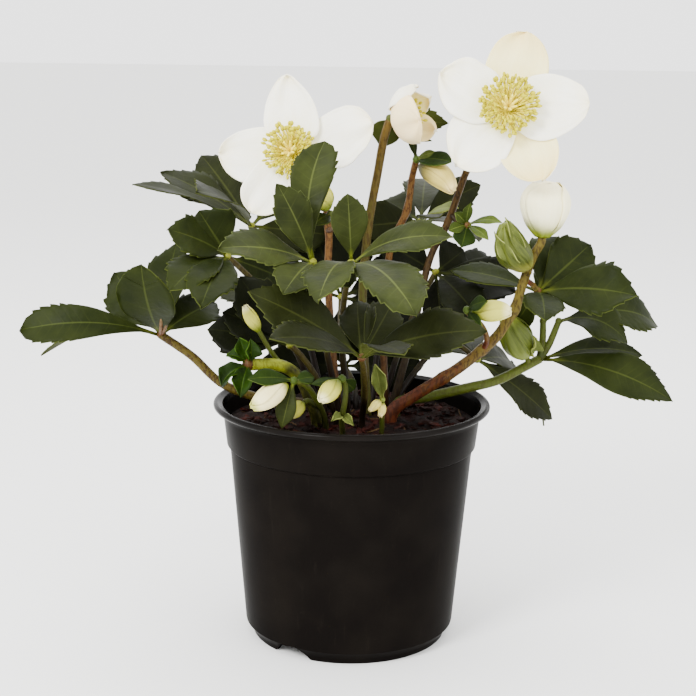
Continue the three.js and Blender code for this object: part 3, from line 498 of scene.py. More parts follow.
class Tone(Enum):
    """The greens of one plant's leaves: green, lighter green, veins, margin and foot."""

    GROWN = ("#1c210a", "#2b3112", "#505829", "#586230", "#646c18")
    DEEP = ("#131605", "#1c2009", "#353a17", "#3b411a", "#404612")
    SIDE = ("#141a04", "#1e2408", "#3a4218", "#434d18", "#4c5212")
    SHADED = ("#090b03", "#101306", "#22260e", "#2a2f10", "#2d320e")
    YOUNG = ("#0e1a03", "#1e3208", "#3e5614", "#2c440e", "#5a6c18")
    SPROUT = ("#28330e", "#424f1a", "#74823a", "#525f24", "#70772c")
    BRACT = ("#131f05", "#202f0b", "#424f18", "#4a5a1e", "#566018")
    PALE = ("#343e16", "#58602c", "#7c8242", "#888e4c", "#868a40")

    @property
    def skins(self) -> tuple[Finish, Finish]:
        """The finishes of a leaf of this tone.

        Returns:
            The upper side's and the under side's.
        """
        green, light, vein, margin, foot = self.value
        name = self.name.lower()
        upper = LeafSkin(f"leaf_cuticle_{name}", green, light, vein, margin, foot)
        young = self in (Tone.YOUNG, Tone.SPROUT, Tone.BRACT, Tone.PALE)
        under = LeafSkin(
            f"leaf_underside_{name}", light if young else "#282c09", vein if young else "#343914",
            vein, margin, foot, roughness=0.55, relief=0.35, raised=True, veined=0.4,
        )
        return upper, under


RIB = {
    tone: StemSkin(f"midrib_{name}", *colours, flecked=flecked, turn=(0.0, 0.5))
    for tone, name, flecked, *colours in (
        (Tone.GROWN, "pale", 0.15, "#6c7230", "#4c5424", "#44401a"),
        (Tone.DEEP, "deep", 0.15, "#454a1b", "#2f3414", "#302a10"),
        (Tone.SIDE, "side", 0.15, "#585d1f", "#3c4319", "#443814"),
        (Tone.SHADED, "shaded", 0.15, "#353a14", "#262a0e", "#2a240c"),
        (Tone.SPROUT, "sprout", 0.1, "#6c8030", "#46602a", "#4a4a1a"),
        (Tone.YOUNG, "young", 0.1, "#465818", "#2c400e", "#3c3a12"),
        (Tone.BRACT, "bract", 0.1, "#4c5a20", "#364614", "#383412"),
        (Tone.PALE, "pale_green", 0.1, "#949c48", "#7c883a", "#6c6a2c"),
    )
}
HUB_GREEN = StemSkin("leaf_joint_pale", "#565a1c", "#70741f", "#483616", flecked=0.3, turn=(0.0, 0.6))
HUB_RED = StemSkin("leaf_joint_reddish", "#42220e", "#503a18", "#2c1006", flecked=0.5, turn=(0.0, 0.9))
LEAF_STALK = StemSkin("leaf_stalk_olive", "#100a04", "#332d0e", "#140803", flecked=0.55, turn=(0.35, 0.85))
SPECKLED_STALK = StemSkin(
    "leaf_stalk_speckled", "#33280c", "#443a10", "#241006", flecked=0.75, turn=(0.0, 0.6)
)
GREEN_STALK = StemSkin("leaf_stalk_green", "#222a0a", "#3f4712", "#2a1c0a", flecked=0.35, turn=(0.0, 0.5))
RUDDY_PETIOLE = StemSkin("petiole_ruddy", "#50301a", "#665030", "#38180c", flecked=0.4, turn=(0.1, 0.9))
# Partly painted shade: the olive foot is the stem's own hue, darkened for the shade that falls lower down
# among the leaves.
STEM_OLIVE = StemSkin("flower_stem_olive", "#37370e", "#564317", "#30200a", flecked=0.6, turn=(0.45, 0.95))
STEM_TAN = StemSkin("flower_stem_tan", "#33200c", "#5c3f1c", "#2c1407", flecked=0.7, turn=(0.1, 0.7))
STEM_DARK = StemSkin("flower_stem_dark", "#211808", "#4a3414", "#160a03", flecked=0.7, turn=(0.3, 0.95))
STEM_RED = StemSkin("flower_stem_red", "#482210", "#564a18", "#1a0803", flecked=0.62, turn=(0.25, 0.62))
# Painted shade: the near-black foot, over the stalk's lower three fifths, stands for the shade among the
# stems near the soil; only the end has the stalk's own yellow-green.
PALE_STALK_SHADED_FOOT = StemSkin("young_stalk_yellow", "#1c1c06", "#767c1e", "#444210", flecked=0.45, turn=(0.6, 0.8))
SHOOT_STALK = StemSkin("shoot_stalk_green", "#141705", "#3e4612", "#2e240c", flecked=0.35, turn=(0.2, 0.8))

WHITE_SEPAL = PetalSkin("sepal_white", "#fffdee", "#f6efd2", "#ece68c", "#fdf4d4", throat_end=0.42)
CREAM_SEPAL = PetalSkin("sepal_cream", "#fcf0b4", "#f2e298", "#ece48c", "#eed690", tip_start=0.6)
SEPAL_BACK = PetalSkin("sepal_back", "#f4efdc", "#e8e2c4", "#b0b464", "#ece4c8", throat_end=0.4)
OUTER_SEPAL = PetalSkin("sepal_outer", "#f6dfac", "#eccc94", "#d0c070", "#f2d6a0", throat_end=0.25)
HUSK_SEPAL = PetalSkin(
    "sepal_husky", "#f2e2a8", "#dec688", "#c8c070", "#dcc088", throat_end=0.3, tip_start=0.5
)
BUD_WHITE = PetalSkin("bud_white", "#fff8cc", "#f4ecac", "#76821a", "#fbf0c4", throat_end=0.38, scatter=0.08)
BUD_CREAM = PetalSkin("bud_cream", "#ecdc7c", "#d6c658", "#666f14", "#f0dca0", throat_end=0.5, scatter=0.06)
BUD_LIPPED = PetalSkin(
    "bud_green_lipped", "#f6e9ac", "#e2d184", "#7c8420", "#98a034",
    throat_end=0.3, tip_start=0.84, scatter=0.06,
)
BUD_GOLD = PetalSkin(
    "bud_yellow_green", "#bcb848", "#aaa83c", "#5e6a14", "#efe6b4", throat_end=0.6, scatter=0.05
)
BUD_SHADED = PetalSkin(
    "bud_shaded", "#c8b45c", "#98863c", "#2e2c08", "#e8d08c", throat_end=0.66, scatter=0.05
)
BUD_LIME = PetalSkin(
    "bud_lime", "#4a5213", "#2a3307", "#74742a", "#5e6822", throat_end=0.3, scatter=0.04, vein_share=0.9
)
BUD_GREEN = PetalSkin(
    "bud_green", "#525c18", "#343e0a", "#5c661e", "#76802a", throat_end=0.35, scatter=0.04, vein_share=0.8
)
ANTHER = Pollen("anther_yellow", "#b2a800", "#c8bf00")
FILAMENT = Pollen("filament_cream", "#e6da1c", "#fff050")
NECTARY = Pollen("nectary_lime", "#b0a400", "#dccc20", grain=2.5)
STYLE = Pollen("style_cream", "#ecd82c", "#fff068")
POT_PLASTIC = MouldedPolypropylene("polypropylene_black")
RIM_PLASTIC = MouldedPolypropylene("polypropylene_polished_rim", gloss=0.03, sheen=0.22)
# Peat in the default browns, which hold painted shade for the soil under the leaves.
SHADED_PEAT = PeatMix("peat_compost")
BARK = PeatMix("bark_flake", dark="#0a0302", brown="#1e0b06", red="#3c140c", crumb=3.5)
STRAW = PeatMix("dry_fibre", dark="#2a1c0e", brown="#463420", red="#5c4628", crumb=3.0)
PAPER = StudioPaper("studio_paper")


# --- modelling tools


def select_only(*pieces: Piece) -> None:
    """Selects these objects alone and makes the first one active."""
    bpy.ops.object.select_all(action="DESELECT")
    for piece in pieces:
        piece.select_set(True)
    bpy.context.view_layer.objects.active = pieces[0]


def primitive(operator: Callable[..., object], **settings: object) -> Piece:
    """Adds a mesh primitive by itself, as from the Add menu.

    Args:
        operator: The menu's operator.
        **settings: The operator's settings.

    Returns:
        The new object, the only one selected.
    """
    bpy.ops.object.select_all(action="DESELECT")
    operator(**settings)
    return bpy.context.active_object


def weld(reach: float, outwards: bool = True) -> None:
    """Merges the active mesh's points that meet and turns its faces outwards.

    Args:
        reach: How near points have to be, in metres.
        outwards: Whether the faces are turned as well.
    """
    bpy.ops.object.mode_set(mode="EDIT")
    bpy.ops.mesh.select_all(action="SELECT")
    bpy.ops.mesh.remove_doubles(threshold=reach)
    if outwards:
        bpy.ops.mesh.normals_make_consistent(inside=False)
    bpy.ops.object.mode_set(mode="OBJECT")


def dress(piece: Piece, *skins: Finish) -> Piece:
    """Gives a piece its materials, in slot order, and smooth shading.

    Args:
        piece: The object.
        *skins: The finishes.

    Returns:
        The same object.
    """
    piece.data.materials.clear()
    for skin in skins:
        piece.data.materials.append(skin.material())
    for face in piece.data.polygons:
        face.use_smooth = True
    return piece


def joined(pieces: Sequence[Piece]) -> Piece:
    """Joins objects into the first one and returns it."""
    select_only(*pieces)
    if len(pieces) > 1:
        bpy.ops.object.join()
    return bpy.context.active_object


def settle(name: str, pieces: Sequence[Piece], node: str, slot: str) -> Piece:
    """Joins a finished piece's parts and puts it in its CAD node's place.

    Args:
        name: The piece's name.
        pieces: Its parts, each at the origin, unturned and unscaled.
        node: The CAD node that it stands for.
        slot: The record's material slot; not used.

    Returns:
        The finished piece.
    """
    piece = joined(pieces)
    piece.name = name
    piece.data.name = name
    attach(piece, "root")
    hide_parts(node)
    LOG.info("%s stands for %s with %d faces", name, node, len(piece.data.polygons))
    return piece


@dataclass(frozen=True)
class SmoothPath:
    """A centripetal Catmull-Rom curve through points, as the CAD stems follow."""

    points: tuple[Vector, ...]

    @staticmethod
    def through(points: Iterable[Sequence[float]]) -> SmoothPath:
        """A path through plain points."""
        return SmoothPath(tuple(Vector(p) for p in points))

    def raw(self, share: float) -> Vector:
        """The point at a share of the spans, before they are evened out by length.

        Args:
            share: 0 at the first point, 1 at the last.

        Returns:
            The point on the curve.
        """
        last = len(self.points) - 1
        span = min(int(share * last), last - 1)
        weight = share * last - span
        b, c = self.points[span], self.points[span + 1]
        a = self.points[span - 1] if span else b * 2 - c
        d = self.points[span + 2] if span + 2 <= last else c * 2 - b
        gaps = [max((q - p).length ** 0.5, 1e-4) for p, q in ((a, b), (b, c), (c, d))]
        start = ((b - a) / gaps[0] - (c - a) / (gaps[0] + gaps[1]) + (c - b) / gaps[1]) * gaps[1]
        end = ((c - b) / gaps[1] - (d - b) / (gaps[1] + gaps[2]) + (d - c) / gaps[2]) * gaps[1]
        cubic = b * 2 - c * 2 + start + end
        square = c * 3 - b * 3 - start * 2 - end
        return b + start * weight + square * weight**2 + cubic * weight**3

    def sampled(self, spacing: float) -> list[Vector]:
        """Points along the curve at even lengths.

        Args:
            spacing: The distance between them.

        Returns:
            The points, both ends included.
        """
        fine = [self.raw(i / 160) for i in range(161)]
        run = [0.0]
        for p, q in zip(fine, fine[1:]):
            run.append(run[-1] + (q - p).length)
        count = max(4, round(run[-1] / spacing))
        spots, k = [], 0
        for i in range(count + 1):
            want = run[-1] * i / count
            while k < 159 and run[k + 1] < want:
                k += 1
            step = max(run[k + 1] - run[k], 1e-6)
            spots.append(fine[k].lerp(fine[k + 1], min(1.0, (want - run[k]) / step)))
        return spots


def bar(
    path: Iterable[Sequence[float]],
    radius: Callable[[float], float],
    skin: Finish,
    spacing: float = 2.0,
    round_: int = 3,
) -> Piece:
    """A round bar along a smooth path, drawn as a bevelled curve and turned to a mesh.

    Args:
        path: The points that it passes.
        radius: Its radius at a share of its length.
        skin: Its finish.
        spacing: The distance between its rings.
        round_: The curve's bevel resolution.

    Returns:
        The bar, with along (0 at its start, 1 at its end) on its points.
    """
    spots = SmoothPath.through(path).sampled(spacing)
    curve = bpy.data.curves.new("bar", "CURVE")
    curve.dimensions = "3D"
    curve.bevel_depth = MM
    curve.bevel_resolution = round_
    curve.use_fill_caps = True
    spline = curve.splines.new("POLY")
    spline.points.add(len(spots) - 1)
    tree = kdtree.KDTree(len(spots))
    for i, (point, spot) in enumerate(zip(spline.points, spots)):
        point.co = (*(spot * MM), 1.0)
        point.radius = radius(i / (len(spots) - 1))
        tree.insert(spot * MM, i)
    tree.balance()
    piece = bpy.data.objects.new("bar", curve)
    bpy.context.collection.objects.link(piece)
    select_only(piece)
    bpy.ops.object.convert(target="MESH")
    piece = bpy.context.active_object
    weld(1e-7)
    along = piece.data.attributes.new("along", "FLOAT", "POINT")
    for vertex in piece.data.vertices:
        along.data[vertex.index].value = tree.find(vertex.co)[1] / (len(spots) - 1)
    return dress(piece, skin)


class Spot(NamedTuple):
    """A point of a sheet in mm, its vein mark and its share along the sheet."""

    at: Vector
    vein: float
    along: float


@dataclass(frozen=True)
class Cut:
    """How a sheet is divided and how thick it is."""

    columns: int
    rows: int
    wall: float = 0.5
    mirror: bool = False


def sheet(cut: Cut, place: Callable[[float, int], Spot], upper: Finish, under: Finish) -> Piece:
    """A grid whose points are laid on a surface, then given a wall.

    Args:
        cut: The grid's divisions and thickness.
        place: Gives the spot for a side from -1 to 1 and a row.
        upper: The finish of the side that faces the viewer.
        under: The finish of the other side and of the edge.

    Returns:
        A closed sheet with side, vein and along marks on its points.
    """
    piece = primitive(
        bpy.ops.mesh.primitive_grid_add, x_subdivisions=cut.columns, y_subdivisions=cut.rows, size=1
    )
    marks = [piece.data.attributes.new(name, "FLOAT", "POINT").name for name in ("side", "vein", "along")]
    sides, veins, alongs = (piece.data.attributes[name].data for name in marks)
    turn = 2.0 if cut.mirror else -2.0
    for vertex in piece.data.vertices:
        side = max(-1.0, min(1.0, turn * vertex.co.x))
        spot = place(side, round((vertex.co.y + 0.5) * cut.rows))
        vertex.co = spot.at * MM
        sides[vertex.index].value = side
        veins[vertex.index].value = spot.vein
        alongs[vertex.index].value = spot.along
    weld(2e-6, outwards=False)
    dress(piece, upper, under)
    wall = piece.modifiers.new("wall", "SOLIDIFY")
    wall.thickness = cut.wall * MM
    wall.offset = 0.0
    wall.material_offset = 1
    wall.material_offset_rim = 1
    bpy.ops.object.modifier_apply(modifier=wall.name)
    return piece


def ball(centre: Sequence[float], radii: Triple, skin: Finish, detail: int = 12) -> Piece:
    """A small rounded knuckle.

    Args:
        centre: Its middle.
        radii: Its half sizes.
        skin: Its finish.
        detail: The number of its segments.

    Returns:
        The ball, with its place in its mesh.
    """
    rings = max(6, detail * 2 // 3)
    piece = primitive(bpy.ops.mesh.primitive_uv_sphere_add, segments=detail, ring_count=rings, radius=1.0)
    along = piece.data.attributes.new("along", "FLOAT", "POINT")
    for vertex in piece.data.vertices:
        rough = 1 + 0.08 * noise.noise(vertex.co * 1.7 + Vector(centre))
        along.data[vertex.index].value = vertex.co.z * 0.5 + 0.5
        vertex.co = (Vector(centre) + Vector(r * c * rough for r, c in zip(radii, vertex.co))) * MM
    return dress(piece, skin)


def direction(bearing: float, pitch: float) -> Vector:
    """The unit vector of a bearing from +X and a pitch above the horizontal, in degrees."""
    level = math.cos(math.radians(pitch))
    turn = math.radians(bearing)
    return Vector((level * math.cos(turn), level * math.sin(turn), math.sin(math.radians(pitch))))


def mix(a: float, b: float, share: float) -> float:
    """The value at a share of the way from a to b."""
    return a + (b - a) * share


def smoothstep(value: float, low: float, high: float) -> float:
    """0 below low, 1 above high, smooth between."""
    share = max(0.0, min(1.0, (value - low) / (high - low)))
    return share * share * (3 - 2 * share)


# --- blades and leaves


@dataclass(frozen=True)
class BladeCut:
    """What kind of blade it is: a toothed leaflet, or a plain bract or young leaf."""

    toothed: bool = True
    sunk: float = 1.6
    petiole: float = 0.06
    blunt: float = 0.7
    fullest: float = 0.6
    petiolule: float = 0.8
    channel: float = 0.16
    wall: float = 0.5
    tooth: float = 0.1
    pitch: float = 5.2
    first_tooth: float = 0.42
    quilt: float = 0.015
    rib: float = 0.45
    wave: float = 0.05
    acute: float = 0.3


LEAFLET = BladeCut()
BRACT = BladeCut(toothed=False, sunk=0.6, petiole=0.02, blunt=0.8, quilt=0.04, rib=0.4)
CRUMPLED = replace(BRACT, quilt=0.7, wave=0.26, channel=0.9, rib=0.4)
ROUNDED = replace(LEAFLET, acute=0.05, blunt=0.62)
OBOVATE = replace(LEAFLET, acute=0.0, blunt=0.5, fullest=0.72, first_tooth=0.6)
SMOOTH = replace(ROUNDED, first_tooth=0.86, tooth=0.03)
SPARSE = replace(LEAFLET, first_tooth=0.66, tooth=0.08, pitch=4.2)
RAGGED = replace(BRACT, toothed=True, first_tooth=0.3, pitch=3.6, tooth=0.16, quilt=0.1)


class Station(NamedTuple):
    """A place on a blade's edge: share of the length, width factor, vein mark and lean forward."""

    at: float
    factor: float
    mark: float
    lean: float = 0.0


@dataclass(frozen=True)
class Blade:
    """One leaflet or bract: tip, width, the side that it shows (bearing, pitch), arch as % of its length."""

    tip: Triple
    width: float
    bearing: float
    pitch: float
    arch: float
    sway: float = 0.0
    crimp: float = 0.0
    tone: Tone | None = None
    cut: BladeCut | None = None

    def margin(self, cut: BladeCut, length: float, rng: random.Random) -> list[Station]:
        """The stations of one edge.

        Args:
            cut: The kind of blade.
            length: Its length.
            rng: The blade's random stream.

        Returns:
            The stations, from the foot to the tip.
        """
        if not cut.toothed:
            return [Station(i / 16, 1.0, i / 16 * 8) for i in range(17)]
        first = cut.first_tooth
        stations = [Station(first * i / 9, 1.0, max(-3.5, (i - 9) * 0.4)) for i in range(10)]
        teeth = max(3, round(length * (1 - cut.first_tooth) / cut.pitch))
        ends = [mix(cut.first_tooth, 0.91, (k / teeth) ** 0.95) for k in range(teeth + 1)]
        ends = [e + (rng.random() - 0.5) * 0.02 if 0 < k < teeth else e for k, e in enumerate(ends)]
        for k in range(teeth):
            low, high = ends[k], ends[k + 1]
            deep = cut.tooth * mix(0.5, 1.3, rng.random()) * (0.5 if k == 0 else 1.0)
            stations += [
                Station(mix(low, high, 0.3), 1 - deep * 0.1, k + 0.3),
                Station(mix(low, high, 0.68), 1 + deep * 0.4, k + 0.68),
                Station(mix(low, high, 0.9), 1 + deep * 0.7, k + 0.9, 0.12 * (high - low) + 0.006),
                Station(high + 0.004, 1 - deep * 0.45, k + 1.04),
            ]
        stations += [Station(0.96, 1.0, teeth + 0.5), Station(1.0, 0.0, teeth + 1.0)]
        return stations

    def raised(self, root: Vector, kind: BladeCut, greens: Tone, seed: int) -> list[Piece]:
        """The blade and its rib.

        Args:
            root: The middle of the knuckle that it grows from.
            kind: The kind of blade, unless it has one of its own.
            greens: Its greens, unless it has its own.
            seed: The seed of its small irregularities.

        Returns:
            The sheet and the rib along it.
        """
        rng = random.Random(SEED * 1000 + seed)
        cut, tone = self.cut or kind, self.tone or greens
        tip = Vector(self.tip)
        along = (tip - root).normalized()
        start = root + along * cut.sunk
        length = (tip - start).length
        face = direction(self.bearing, self.pitch)
        face = (face - along * face.dot(along)).normalized()
        across = face.cross(along)
        power = math.log(0.5) / math.log(cut.fullest)
        waves = [(rng.random() * PHASE, mix(1.2, 2.6, rng.random())) for _ in range(2)]
        tips = (rng.random() - 0.5) * 0.05

        def half(t: float) -> float:
            """Half the blade's plain width at a share of its length, as far as its stalk allows."""
            inner = max(0.0, min(1.0, (t - cut.petiole) / (1 - cut.petiole)))
            swell = self.width / 2 * math.sin(math.pi * inner**power) ** cut.blunt if inner > 0 else 0.0
            swell *= 1 - cut.acute * smoothstep(t, 0.72, 1.0)
            return max(swell, cut.petiolule * mix(1.0, 0.85, t) if t < 0.5 else 0.0)

        def lifted(t: float, s: float, h: float, mark: float) -> Vector:
            """The point of the arched, folded and rippled blade.

            Args:
                t: The share of its length.
                s: The side, -1 to 1.
                h: The half width there.
                mark: The vein mark there.

            Returns:
                The point in mm.
            """
            rise = self.arch / 100 * length * 4 * t * (1 - t)
            fold = cut.channel * abs(s) ** 1.4 * h
            ripple = sum(math.sin(p + PHASE * f * t + (2.2 if s > 0 else 0)) for p, f in waves) * 0.5
            ripple *= cut.wave * self.width * s * s * smoothstep(t, 0.15, 0.4)
            puff = cut.quilt * (1 - math.cos(2 * math.pi * mark)) * 0.5 * abs(s) ** 0.6 * (1 - s**4)
            puff *= smoothstep(h, 1.0, 4.0)
            curl = -abs(s) ** 3 * 0.06 * h
            crumple = self.crimp * smoothstep(t, 0.62, 0.85) * math.sin(17 * t + 5 * s) * (0.3 + abs(s))
            drop = -tips * length * t**3
            sway = self.sway / 100 * length * 4 * t * (1 - t)
            return (
                start + along * (t * length) + across * (s * h + sway)
                + face * (rise + fold + ripple + puff + curl + crumple + drop)
            )

        edges = {1: self.margin(cut, length, rng), -1: self.margin(cut, length, rng)}

        def place(side: float, row: int) -> Spot:
            """The spot of a row's station, its middle drawn back towards the foot as the veins are."""
            at, factor, mark, lean = edges[1 if side >= 0 else -1][row]
            other = edges[-1 if side >= 0 else 1][row]
            if abs(side) < 1e-6:
                at, mark = (at + other.at) / 2, (mark + other.mark) / 2
            width = half(min(at, 1.0))
            slant = 0.62 * width / length if cut.toothed else 0.0
            middle = (at + other.at) / 2 - slant
            t = max(0.0, mix(middle, at, abs(side)) + lean * abs(side) ** 8)
            if row == len(edges[1]) - 1:
                t = 1.0
            reach = width * mix(1.0, factor, abs(side) ** 6)
            return Spot(lifted(min(t, 1.0), side, reach, mark), mark, t)

        def rib_radius(t: float) -> float:
            """The midrib's radius at a share of its length."""
            return mix(cut.rib, 0.12, t**0.6)

        rows = len(edges[1]) - 1
        upper, under = tone.skins
        pieces = [sheet(Cut(12 if self.width > 9 else 8, rows, cut.wall), place, upper, under)]
        stops = (0, 0.18, 0.4, 0.62, 0.82, 0.93)
        spine = [lifted(t, 0.0, half(t), 0.0) - face * mix(0.12, 0.16, t) for t in stops]
        return pieces + [bar(spine, rib_radius, RIB[tone], spacing=3.0, round_=1)]


class Sprig(NamedTuple):
    """A short stalk from a leaf's joint, with leaflets at its end."""

    path: Route
    blades: tuple[Blade, ...]


@dataclass(frozen=True)
class Leaf:
    """A hand of leaflets at the end of a stalk from the crown."""

    name: str
    stalk: Route
    blades: tuple[Blade, ...]
    tone: Tone = Tone.GROWN
    stalk_radius: float = 1.6
    stalk_skin: StemSkin = LEAF_STALK
    own_stalk: bool = True
    hub: Triple | None = None
    hub_skin: StemSkin = HUB_GREEN
    branch: Route = ()
    sprigs: tuple[Sprig, ...] = ()
    petioles: tuple[Route, ...] = ()

    def centre(self) -> Vector:
        """The middle of the knuckle that the leaflets grow from."""
        return Vector(self.hub or self.stalk[-1])

    def build(self, seed: int) -> None:
        """Builds the leaflets in the leaf's node and the stalk in its own.

        Args:
            seed: The leaf's seed.
        """
        hub = self.centre()
        pieces = [ball(hub, (1.9, 1.8, 1.9), self.hub_skin)]
        for k, blade in enumerate(self.blades):
            pieces += blade.raised(hub, LEAFLET, self.tone, seed * 10 + k)
        for path in self.petioles:
            pieces.append(bar(path, lambda t: mix(1.1, 0.5, t), RUDDY_PETIOLE, spacing=1.5))
        for k, sprig in enumerate(self.sprigs):
            end = Vector(sprig.path[-1])
            pieces.append(bar(sprig.path, lambda t: mix(1.9, 1.5, t), self.stalk_skin, spacing=1.5))
            pieces.append(ball(end, (1.8, 1.7, 1.8), self.stalk_skin))
            for j, blade in enumerate(sprig.blades):
                pieces += blade.raised(end, replace(LEAFLET, sunk=0.8), self.tone, seed * 10 + 5 + 2 * k + j)
        stalk = [] if not self.stalk else Stem(
            self.stalk, self.stalk_radius, self.stalk_skin, branches=(self.branch,) if self.branch else ()
        ).raised()
        title = "".join(part.title() for part in self.name.split("_"))
        if not self.own_stalk:
            settle(f"Leaf{title}", pieces + stalk, f"leaf_{self.name}", "leaf_green")
            return
        settle(f"Leaf{title}", pieces, f"leaf_{self.name}", "leaf_green")
        if stalk:
            settle(f"Stalk{title}", stalk, f"stalk_{self.name}", "leaf_stalk")


def hand(*rows: tuple[float, ...]) -> tuple[Blade, ...]:
    """Leaflets from rows of tip x, y, z, width, bearing, pitch, arch and, if any, sway."""
    return tuple(Blade(tuple(row[:3]), *row[3:]) for row in rows)


